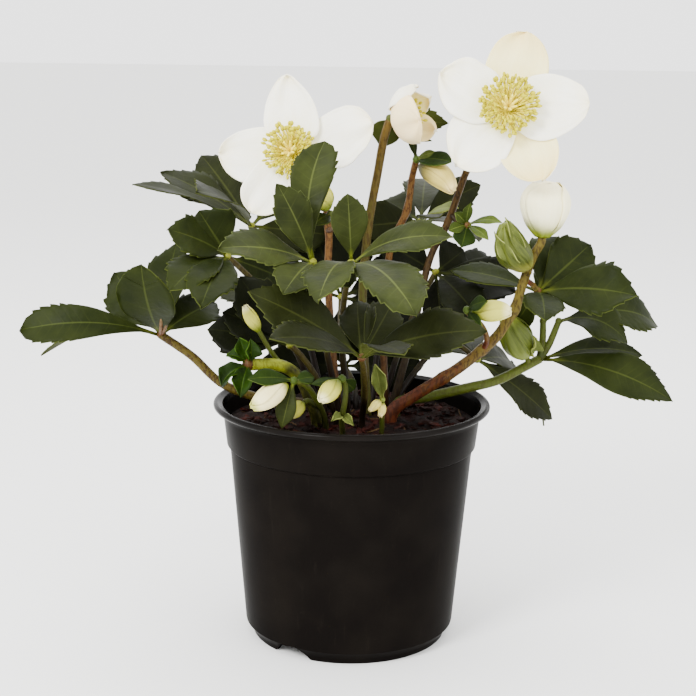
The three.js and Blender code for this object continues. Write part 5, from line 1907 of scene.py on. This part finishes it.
@dataclass
class SoilTop:
    """Peat compost that fills the pot, with bark flakes and dry fibres lying on it."""

    pot: NurseryPot = field(default_factory=NurseryPot)
    clearance: float = 0.3
    edge_z: float = 103.6
    flakes: int = 330
    fibres: int = 46

    def height(self, x: float, y: float) -> float:
        """The height of the loose surface."""
        low = math.sin(0.23 * x + 1.3) * math.cos(0.19 * y - 0.4)
        low += 0.7 * math.sin(0.31 * (x + y) + 2) * math.cos(0.27 * x)
        fine = noise.noise((x * 0.16, y * 0.16, 3.0)) * 1.5 + noise.noise((x * 0.42, y * 0.42, 8.0)) * 0.8
        return SOIL_TOP + low * 0.8 + fine - 1.6 * smoothstep(math.hypot(x, y), 50, 58)

    def body(self) -> Piece:
        """The soil's body, lumpy on top and fitted to the pot's inside.

        Returns:
            The closed body.
        """
        pot, gap = self.pot, self.clearance
        slope = (pot.collar_top - pot.collar_foot) / (pot.height - pot.rim_depth - 5 - pot.collar_z)
        edge = pot.collar_foot - pot.wall - gap + slope * (self.edge_z - pot.collar_z - 0.8)
        section = [
            (0, pot.floor_z + pot.floor + gap),
            (pot.foot_radius - 0.9 - gap, pot.floor_z + pot.floor + gap),
            (pot.base_radius - pot.wall - gap, pot.base_z + 1.6),
            (pot.collar_foot - pot.wall - pot.step - gap, pot.collar_z - 1.2),
            (pot.collar_foot - pot.wall - gap, pot.collar_z + 0.8),
            (edge, self.edge_z),
        ]
        rings = 44
        section += [(edge * (1 - k / rings), SOIL_TOP) for k in range(1, rings + 1)]
        soil = spun("soil_section", section, 132)
        for vertex in soil.data.vertices:
            if vertex.co.z > (SOIL_TOP - 0.01) * MM:
                vertex.co.z = self.height(vertex.co.x / MM, vertex.co.y / MM) * MM
        return dress(soil, SHADED_PEAT)

    def scrap(self, seed: int, sizes: Triple, skin: Finish) -> Piece:
        """One broken flake or bit of fibre at the origin.

        Args:
            seed: The seed of its shape.
            sizes: Its length, width and thickness.
            skin: Its finish.

        Returns:
            The scrap.
        """
        rng = random.Random(SEED + seed)
        piece = primitive(bpy.ops.mesh.primitive_cube_add, size=1)
        bpy.ops.object.mode_set(mode="EDIT")
        bpy.ops.mesh.select_all(action="SELECT")
        bpy.ops.mesh.subdivide(number_cuts=1)
        bpy.ops.object.mode_set(mode="OBJECT")
        for vertex in piece.data.vertices:
            x, y, z = vertex.co
            taper = 1 - 0.7 * abs(2 * x) ** 2 * rng.random()
            bend = 0.9 * (x * x - 0.1)
            jag = [1 + (rng.random() - 0.5) * 0.5 for _ in range(3)]
            vertex.co = Vector((
                x * sizes[0] * jag[0], y * sizes[1] * taper * jag[1], (z * jag[2] + bend) * sizes[2],
            )) * MM
        piece.data.materials.append(skin.material())
        return piece

    def build(self) -> None:
        """Builds the body and strews the scraps over it."""
        rng = random.Random(SEED + 5)
        kinds = [
            *(self.scrap(k, (mix(2.6, 6.5, k / 4), mix(1.6, 3.2, k / 4), 1.0), BARK) for k in range(5)),
            *(self.scrap(9 + k, (mix(2.4, 4.5, k / 2), 2.2, 1.4), SHADED_PEAT) for k in range(3)),
            *(self.scrap(20 + k, (mix(7, 12, k), 0.6, 0.5), STRAW) for k in range(2)),
        ]
        pieces = [self.body()]
        for i in range(self.flakes + self.fibres):
            kind = kinds[8 + i % 2] if i >= self.flakes else kinds[i % 8]
            reach = 54 * math.sqrt(rng.random())
            turn = rng.random() * 2 * math.pi
            x, y = reach * math.cos(turn), reach * math.sin(turn)
            stand = (
                Matrix.Translation((x, y, self.height(x, y) + mix(-0.2, 0.7, rng.random())))
                @ Matrix.Rotation(rng.random() * PHASE, 4, "Z")
                @ Matrix.Rotation((rng.random() - 0.5) * 0.9, 4, "X")
                @ Matrix.Rotation((rng.random() - 0.5) * 0.7, 4, "Y")
            )
            pieces.append(copied(kind, stand))
        for kind in kinds:
            bpy.data.objects.remove(kind)
        settle("PeatSoil", pieces, "soil", "potting_soil")


# --- the plant's own tables


A_STEM = (
    (20, 10, 108), (29, 14, 145), (37, 18, 181), (44, 16, 196), (52, 8, 222), (59, 4, 237), (66, -2, 247),
)
B_STEM = ((-7, 2, 110), (-11, 4, 155), (-12, 5, 175), (-12, 6, 195), (-15, 8, 210), (-23, 2, 223))
C_KNOT = (15.9, 1.6, 246.3)
C_STEM = ((7, 6, 109), (4.5, 12, 160), (6.8, 10, 196), (10.8, 6, 222), (13.4, 3, 238), C_KNOT)
D_KNOT = (28.6, 8, 227.4)
D_STEM = ((16, 16, 108), (15, 20, 144), (18, 22, 185), (25, 20, 202), (27, 16, 218), D_KNOT)
H_STEM = (
    (19, -8, 110), (29, -8, 118), (50, -8, 132), (67, -8, 147), (72, -8, 155), (75, -8, 160), (78, -8, 171),
    (83, -8, 186), (86.1, -8, 191.5), (86.3, -8, 194.5),
)
J_KNOT = (51.6, -24.4, 162.4)
MID_KNOT = (-10.8, -13.6, 203.8)
SHOOT_KNOT = (53, 8, 197)
X1_KNOT = (-26, -41, 132.3)
X3_KNOT = (-4.5, -44.5, 134.4)
WHORL_KNOT = (-47, -30, 137)

FLOWERS: tuple[Flower, ...] = (
    Flower(
        "a", (68, -12, 252), (0, -0.95, 0.3), open_cup,
        (
            Petal(
                77, 35.1, 32, -1, face=CREAM_SEPAL,
                minus=((0.3, 11), (0.5, 15), (0.7, 15), (0.83, 13), (0.92, 10), (0.97, 6.5)),
                plus=((0.3, 12), (0.5, 15.5), (0.64, 15.5), (0.76, 14), (0.87, 12), (0.94, 9), (0.98, 5)),
            ),
            Petal(
                159, 34.5, 31, 1, skew=-4,
                minus=((0.3, 11), (0.5, 15), (0.78, 14.5), (0.88, 12.5), (0.95, 6)),
                plus=((0.3, 11), (0.5, 15), (0.78, 15), (0.88, 12), (0.95, 7)),
                creases=(
                    Crease((0.5, 0.1), (0.92, -0.15), 1.3, 0.06),
                    Crease((0.72, -0.45), (0.9, -0.95), -1.5, 0.07),
                    Crease((0.45, 0.5), (0.7, 0.75), 1.0, 0.08),
                ),
            ),
            Petal(
                230, 36, 33, 0,
                minus=((0.3, 12), (0.5, 16.5), (0.72, 17), (0.83, 14), (0.91, 9.5), (0.97, 5)),
                plus=(
                    (0.3, 12), (0.45, 14), (0.64, 15.5), (0.77, 14.5), (0.87, 11.5), (0.94, 8), (0.98, 4.5),
                ),
                creases=(
                    Crease((0.8, 0.5), (0.98, 0.3), -1.4, 0.07),
                    Crease((0.4, -0.3), (0.8, -0.55), 0.8, 0.09),
                ),
            ),
            Petal(
                294, 36.3, 31, -1, face=CREAM_SEPAL,
                minus=((0.3, 10), (0.5, 13), (0.72, 13.5), (0.83, 12.5), (0.92, 9.5), (0.97, 6)),
                plus=((0.3, 11), (0.5, 15), (0.76, 15), (0.86, 12.5), (0.94, 8.5), (0.975, 5)),
            ),
            Petal(
                363, 36, 30, 0,
                minus=(
                    (0.3, 13), (0.46, 17), (0.6, 18), (0.7, 16), (0.8, 12.5), (0.88, 9.5), (0.95, 6.5),
                    (0.985, 3.5),
                ),
                plus=((0.3, 12), (0.5, 16.5), (0.67, 16), (0.78, 13.5), (0.88, 10.5), (0.95, 8), (0.985, 5)),
                creases=(
                    Crease((0.6, 0.15), (0.95, 0.0), 1.4, 0.06),
                    Crease((0.4, -0.5), (0.75, -0.7), 0.8, 0.08),
                ),
            ),
        ),
        Tuft(170, 12.4, 56, 1.15),
        Stem(
            A_STEM, 1.9, STEM_DARK,
            branches=(((46, 14, 201), (49, 11, 198), SHOOT_KNOT),), knuckles=(0.62,),
        ),
    ),
    Flower(
        "b", (-29, -8, 231), (-0.12, -0.96, 0.25), open_cup,
        (
            Petal(
                94, 34.8, 27, 1,
                minus=(
                    (0.3, 12), (0.45, 16), (0.53, 15.5), (0.64, 13.8), (0.74, 11.5), (0.84, 8), (0.93, 4.5),
                ),
                plus=((0.3, 11), (0.43, 13), (0.54, 13.3), (0.69, 11.5), (0.82, 8.5), (0.93, 5)),
                creases=(Crease((0.4, -0.1), (0.85, 0.1), 0.6, 0.09),),
            ),
            Petal(
                183, 32.6, 26, -1,
                minus=((0.3, 11), (0.53, 13.5), (0.67, 12), (0.79, 10), (0.9, 7), (0.96, 4.5)),
                plus=((0.3, 10), (0.5, 13.5), (0.73, 14.5), (0.84, 12.5), (0.93, 9), (0.97, 5.5)),
            ),
            Petal(
                240, 33, 26, 0,
                minus=((0.3, 9), (0.5, 11.5), (0.7, 11.5), (0.86, 10), (0.94, 7)),
                plus=((0.3, 9), (0.5, 12), (0.7, 12.5), (0.86, 10.5), (0.94, 7.5)),
            ),
            Petal(312, 25, 22, 1, curl=0.2, face=SEPAL_BACK),
            Petal(
                380, 39, 28, -1,
                minus=((0.3, 9), (0.5, 14), (0.62, 15.5), (0.7, 15), (0.77, 12), (0.87, 10), (0.95, 6)),
                plus=((0.3, 8), (0.53, 11.5), (0.7, 12.5), (0.83, 12), (0.93, 9), (0.98, 5)),
                creases=(
                    Crease((0.62, -0.5), (0.72, -0.95), -1.2, 0.06),
                    Crease((0.3, -0.6), (0.6, -0.7), 0.8, 0.06),
                ),
            ),
        ),
        Tuft(130, 11, 52, 1.15),
        Stem(B_STEM, 1.9, STEM_TAN, branches=(((-12, 5, 194), (-9, -6, 197), MID_KNOT),), knuckles=(0.7,)),
    ),
    Flower(
        "c", (20, -2, 247), (0.72, -0.62, 0.12), half_cup,
        (
            Petal(
                192, 27, 31, 0, face=OUTER_SEPAL, back=OUTER_SEPAL,
                minus=((0.3, 11), (0.6, 15), (0.8, 12.5), (0.92, 8.5), (0.97, 5)),
                plus=((0.3, 11), (0.6, 15), (0.8, 12.5), (0.92, 8.5), (0.97, 5)),
            ),
            Petal(262, 19, 15, 1, face=HUSK_SEPAL),
            Petal(330, 18, 14, -1, face=HUSK_SEPAL),
            Petal(45, 20, 16, 1, face=CREAM_SEPAL),
            Petal(115, 22, 18, -1, face=HUSK_SEPAL),
        ),
        Tuft(26, 8.5, 34, 1.9, nectaries=8, carpels=4, dome=3.2, anther=0.8),
        Stem(C_STEM, 2.2, STEM_OLIVE, taper=0.9),
        to_flower=False,
    ),
)

BUDS: tuple[BudPiece, ...] = (
    BudPiece(
        "d", Bud((31, 6, 225), (45.5, -6, 214.5), 5.5, BUD_SHADED, 0.44, (1, 0, 1), twist=15),
        "bud_cream", D_KNOT,
        (
            Blade((44, -8, 227.4), 9.5, -90, 40, 6, cut=replace(BRACT, blunt=0.4)),
            Blade((25.4, 8, 239.5), 4, -90, 10, 4, tone=Tone.SIDE),
            Blade((38, 2, 231), 4, -90, 30, 14, tone=Tone.PALE),
        ),
    ),
    BudPiece(
        "h",
        Bud(
            (86.3, -8, 194), (88, -8, 219.3), 11.2, BUD_WHITE, 0.6,
            sepals=4, span=72, twist=16, lap=1.0, pleat=0.6, bluff=0.52, first=150,
        ),
        "petal_white",
    ),
    BudPiece(
        "i",
        Bud(
            (79.2, -12.5, 180.2), (68, -18, 201.5), 7.0, BUD_LIME, 0.42, (-2.4, -0.6, -0.6),
            sepals=4, span=70, twist=25, lap=0.9, ridge=0.55,
        ),
        "young_green",
        wraps=(Blade((67.5, -21, 204.5), 4.5, -90, 20, 12), Blade((63.5, -18, 197), 6, -120, 10, 26)),
    ),
    BudPiece(
        "k",
        Bud(
            (83, 7, 134.6), (72, 4, 154), 7.3, BUD_GREEN, 0.45,
            sepals=4, span=72, twist=20, lap=0.8, ridge=0.5,
        ),
        "young_green",
        wraps=(Blade((85.5, -1, 146), 6, -60, 30, 14),),
    ),
    BudPiece(
        "j", Bud((54, -25, 162.5), (71, -30, 163), 4.7, BUD_GOLD), "bud_cream", J_KNOT,
        hand((60, -33, 168, 8, -90, 40, 10), (58, -31, 156, 6, -90, -20, 10)),
    ),
    BudPiece(
        "mid", Bud((-12, -14, 206), (-18, -16, 217), 5.5, BUD_GOLD), "bud_cream", MID_KNOT,
        hand((-18, -24, 200, 10, -90, 50, 8)), tone=Tone.SIDE,
    ),
)

STEMS: tuple[Shoot, ...] = (
    Shoot("StemD", "stem_d", "flower_stem", Stem(D_STEM, 1.9, STEM_TAN, knuckles=(0.8,))),
    Shoot(
        "StemH", "stem_h", "flower_stem",
        Stem(
            H_STEM, 3.1, STEM_RED, taper=0.66, knuckles=(0.36, 0.53, 0.72),
            branches=(
                ((81, -8, 177.5), (80.3, -11.9, 178.0), (79.2, -12.6, 180.4)),
                ((61, -8, 140.5), (62, -14, 147), (58.5, -20, 155), (53, -23, 160), J_KNOT),
                ((79.5, -8, 174), (83, -6.5, 171.5), (86, -4, 168)),
            ),
        ),
    ),
)

SHOOTS: tuple[Shoot, ...] = (
    Shoot(
        "YoungShoot", "young_shoot", "young_green",
        whorls=(
            Whorl(
                SHOOT_KNOT,
                hand(
                    (54, 4, 208, 4.6, -90, 30, 8, 6), (68, -4, 200, 5.4, -90, 50, 8, 5),
                    (62, -6, 192, 5.6, -90, 50, 8), (47, 6, 203, 5.5, -90, 40, 8),
                    (44, 2, 195, 6, -90, 30, 8),
                ) + (Blade((50, 0, 187.5), 11, -80, 30, 8, tone=Tone.BRACT),),
                Tone.SPROUT, 61, 2.0, skin=HUB_RED,
            ),
        ),
    ),
    Shoot(
        "YoungWhorl", "shoot_whorl", "young_green",
        Stem(
            ((-16, -17, 108), (-20, -19, 120), (-25, -20.5, 130), (-33, -24, 135.5), WHORL_KNOT),
            3.0, PALE_STALK_SHADED_FOOT, 0.9,
        ),
        whorls=(
            Whorl(
                WHORL_KNOT,
                hand(
                    (-57, -30, 141, 8, -90, 50, 22), (-59, -34, 128, 9, -110, 30, 26),
                    (-50, -39, 124, 10, -90, 30, 24), (-46, -31, 149, 7, -60, 20, 16),
                    (-51, -28, 149, 7, -90, 20, 16),
                ),
                Tone.YOUNG, 62, 3.0, CRUMPLED, HUB_RED,
            ),
        ),
    ),
    Shoot(
        "ShootLeft", "shoot_x1", "young_green",
        Stem(
            ((-12, -22, 108), (-15, -30, 119), (-21, -39, 130), X1_KNOT), 1.5, SHOOT_STALK,
            branches=(((-14.5, -28.5, 117), (-20.5, -31.2, 120.9), (-21.8, -32.8, 120.1)),),
        ),
        whorls=(
            Whorl(
                X1_KNOT,
                (
                    Blade((-46, -50, 134.5), 9, -90, 45, 10),
                    Blade((-17, -37, 133), 8, -90, 50, 6),
                    Blade((-31, -47.5, 112), 9, -90, 20, 10, tone=Tone.GROWN),
                ),
                Tone.BRACT, 63,
            ),
        ),
    ),
    Shoot(
        "BudLeftWhite", "bud_x1", "petal_white",
        buds=((64, Bud((-29, -43.5, 130.8), (-43.5, -55.5, 123.4), 4.8, BUD_LIPPED)),),
    ),
    Shoot(
        "BudLeftSmall", "bud_x2", "bud_cream",
        buds=((65, Bud((-22, -33, 120), (-28.5, -41, 116.2), 3.4, BUD_GOLD)),),
    ),
    Shoot(
        "ShootMiddle", "shoot_x3", "young_green",
        Stem(
            ((-4, -34, 107), (-4.3, -40, 115), (-3, -42, 124), (-3, -42.5, 131), X3_KNOT), 1.4, SHOOT_STALK,
        ),
        whorls=(
            Whorl(
                X3_KNOT, hand((1, -38, 128, 7, -90, 20, 4), (-18, -42, 131, 4, -90, 40, 4)),
                Tone.BRACT, 66,
            ),
            Whorl(
                (-4.3, -39.5, 116),
                (
                    Blade((-9, -45, 115), 4, -90, 30, 30, cut=CRUMPLED),
                    Blade((1, -45, 113), 4, -90, 30, 30, cut=CRUMPLED),
                ),
                Tone.PALE, 67, 1.6,
            ),
        ),
    ),
    Shoot(
        "BudMiddle", "bud_x3", "bud_cream",
        buds=((67, Bud((-5.9, -46.3, 133.5), (-13.5, -55.5, 126.8), 4.2, BUD_GOLD)),),
    ),
    Shoot(
        "ShootInner", "shoot_x4", "bud_cream",
        Stem(
            ((-13, -11.5, 108), (-22, -15, 122), (-32, -19, 134), (-38, -23, 143), (-42.6, -25.2, 151.6)),
            1.3, SHOOT_STALK,
        ),
        ((68, Bud((-42.3, -25, 151), (-49, -27.6, 163.5), 2.8, BUD_GOLD)),),
    ),
    Shoot(
        "ShootFront", "shoot_x5", "bud_cream",
        Stem(((14, -26, 107), (14, -27, 114), (14, -28, 121)), 1.3, SHOOT_STALK),
        (
            (69, Bud((13.5, -28.5, 121), (8, -33, 117), 1.6)),
            (70, Bud((14.5, -28.5, 119.5), (13, -34, 114.5), 1.5)),
        ),
        (Whorl((14, -28, 121), hand((10.5, -31, 138, 7, -90, 20, 4)), Tone.PALE, 71, 1.3, CRUMPLED),),
    ),
    Shoot(
        "FlowerCBracts", "flower_c_bracts", "leaf_green",
        whorls=(
            Whorl(
                C_KNOT,
                (
                    Blade((12, 9, 232.5), 14, 90, 0, 26),
                    Blade((43.5, 12, 244), 12, 90, 0, 20, cut=RAGGED),
                    Blade((36, 10, 236), 5, 90, -30, 20),
                ),
                Tone.SIDE, 72, 2.1,
            ),
        ),
    ),
)


# --- studio


@dataclass
class Studio:
    """The floor, the lights and the camera."""

    camera_at: Triple = (0, -682, 281.7)
    look_at: Triple = (-2.1, 0, 139)
    roll: float = 0.013
    focal_px: float = 1475.4
    frame_px: float = 696
    sky: float = 2.8

    def camera(self) -> None:
        """Sets the camera at the plant's eye line, its lens sized for a square frame, with no depth of field.
        """
        data = bpy.data.cameras.new("eye")
        data.sensor_width = 36
        data.lens = 36 * self.focal_px / self.frame_px
        data.clip_start, data.clip_end = 0.01, 50
        eye = bpy.data.objects.new("eye", data)
        way = Vector(self.look_at) - Vector(self.camera_at)
        turned = way.to_track_quat("-Z", "Y").to_matrix().to_4x4() @ Matrix.Rotation(self.roll, 4, "Z")
        eye.matrix_world = Matrix.Translation(Vector(self.camera_at) * MM) @ turned
        bpy.context.scene.collection.objects.link(eye)
        bpy.context.scene.camera = eye

    def lamp(self, name: str, at: Triple, size: float, watts: float) -> None:
        """A soft area light aimed at the middle of the plant.

        Args:
            name: Its name.
            at: Its place.
            size: Its side.
            watts: Its power.
        """
        data = bpy.data.lights.new(name, "AREA")
        data.shape = "SQUARE"
        data.size = size * MM
        data.energy = watts
        lamp = bpy.data.objects.new(name, data)
        lamp.location = Vector(at) * MM
        aim = Vector((0, 0, 150)) - Vector(at)
        lamp.rotation_euler = aim.to_track_quat("-Z", "Y").to_euler()
        bpy.context.scene.collection.objects.link(lamp)

    def build(self) -> None:
        """Builds the studio round the plant."""
        floor = primitive(bpy.ops.mesh.primitive_plane_add, size=30)
        floor.name = "StudioFloor"
        dress(floor, PAPER)
        self.camera()
        self.lamp("key_left", (-620, -860, 900), 380, 26)
        self.lamp("fill_right", (900, -800, 500), 900, 7)
        self.lamp("top_back", (100, 500, 1100), 900, 10)
        world = bpy.data.worlds.new("studio")
        world.use_nodes = True
        sky = world.node_tree.nodes["Background"]
        sky.inputs["Color"].default_value = linear("#ffffff")
        sky.inputs["Strength"].default_value = self.sky
        bpy.context.scene.world = world


def main() -> None:
    """Builds every piece in order."""
    logging.basicConfig(level=logging.INFO, format="%(name)s: %(message)s", stream=sys.stdout)
    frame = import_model()
    LOG.info("the frame has %d nodes", len(frame["nodes"]))
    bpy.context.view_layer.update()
    NurseryPot().build()
    SoilTop().build()
    for seed, leaf in enumerate(LEAVES):
        leaf.build(seed + 1)
    for seed, flower in enumerate(FLOWERS):
        flower.build(seed + 1)
    for stem in STEMS:
        stem.build()
    for seed, bud in enumerate(BUDS):
        bud.build(seed + 41)
    for shoot in SHOOTS:
        shoot.build()
    Studio().build()


if __name__ == "__main__":
    main()
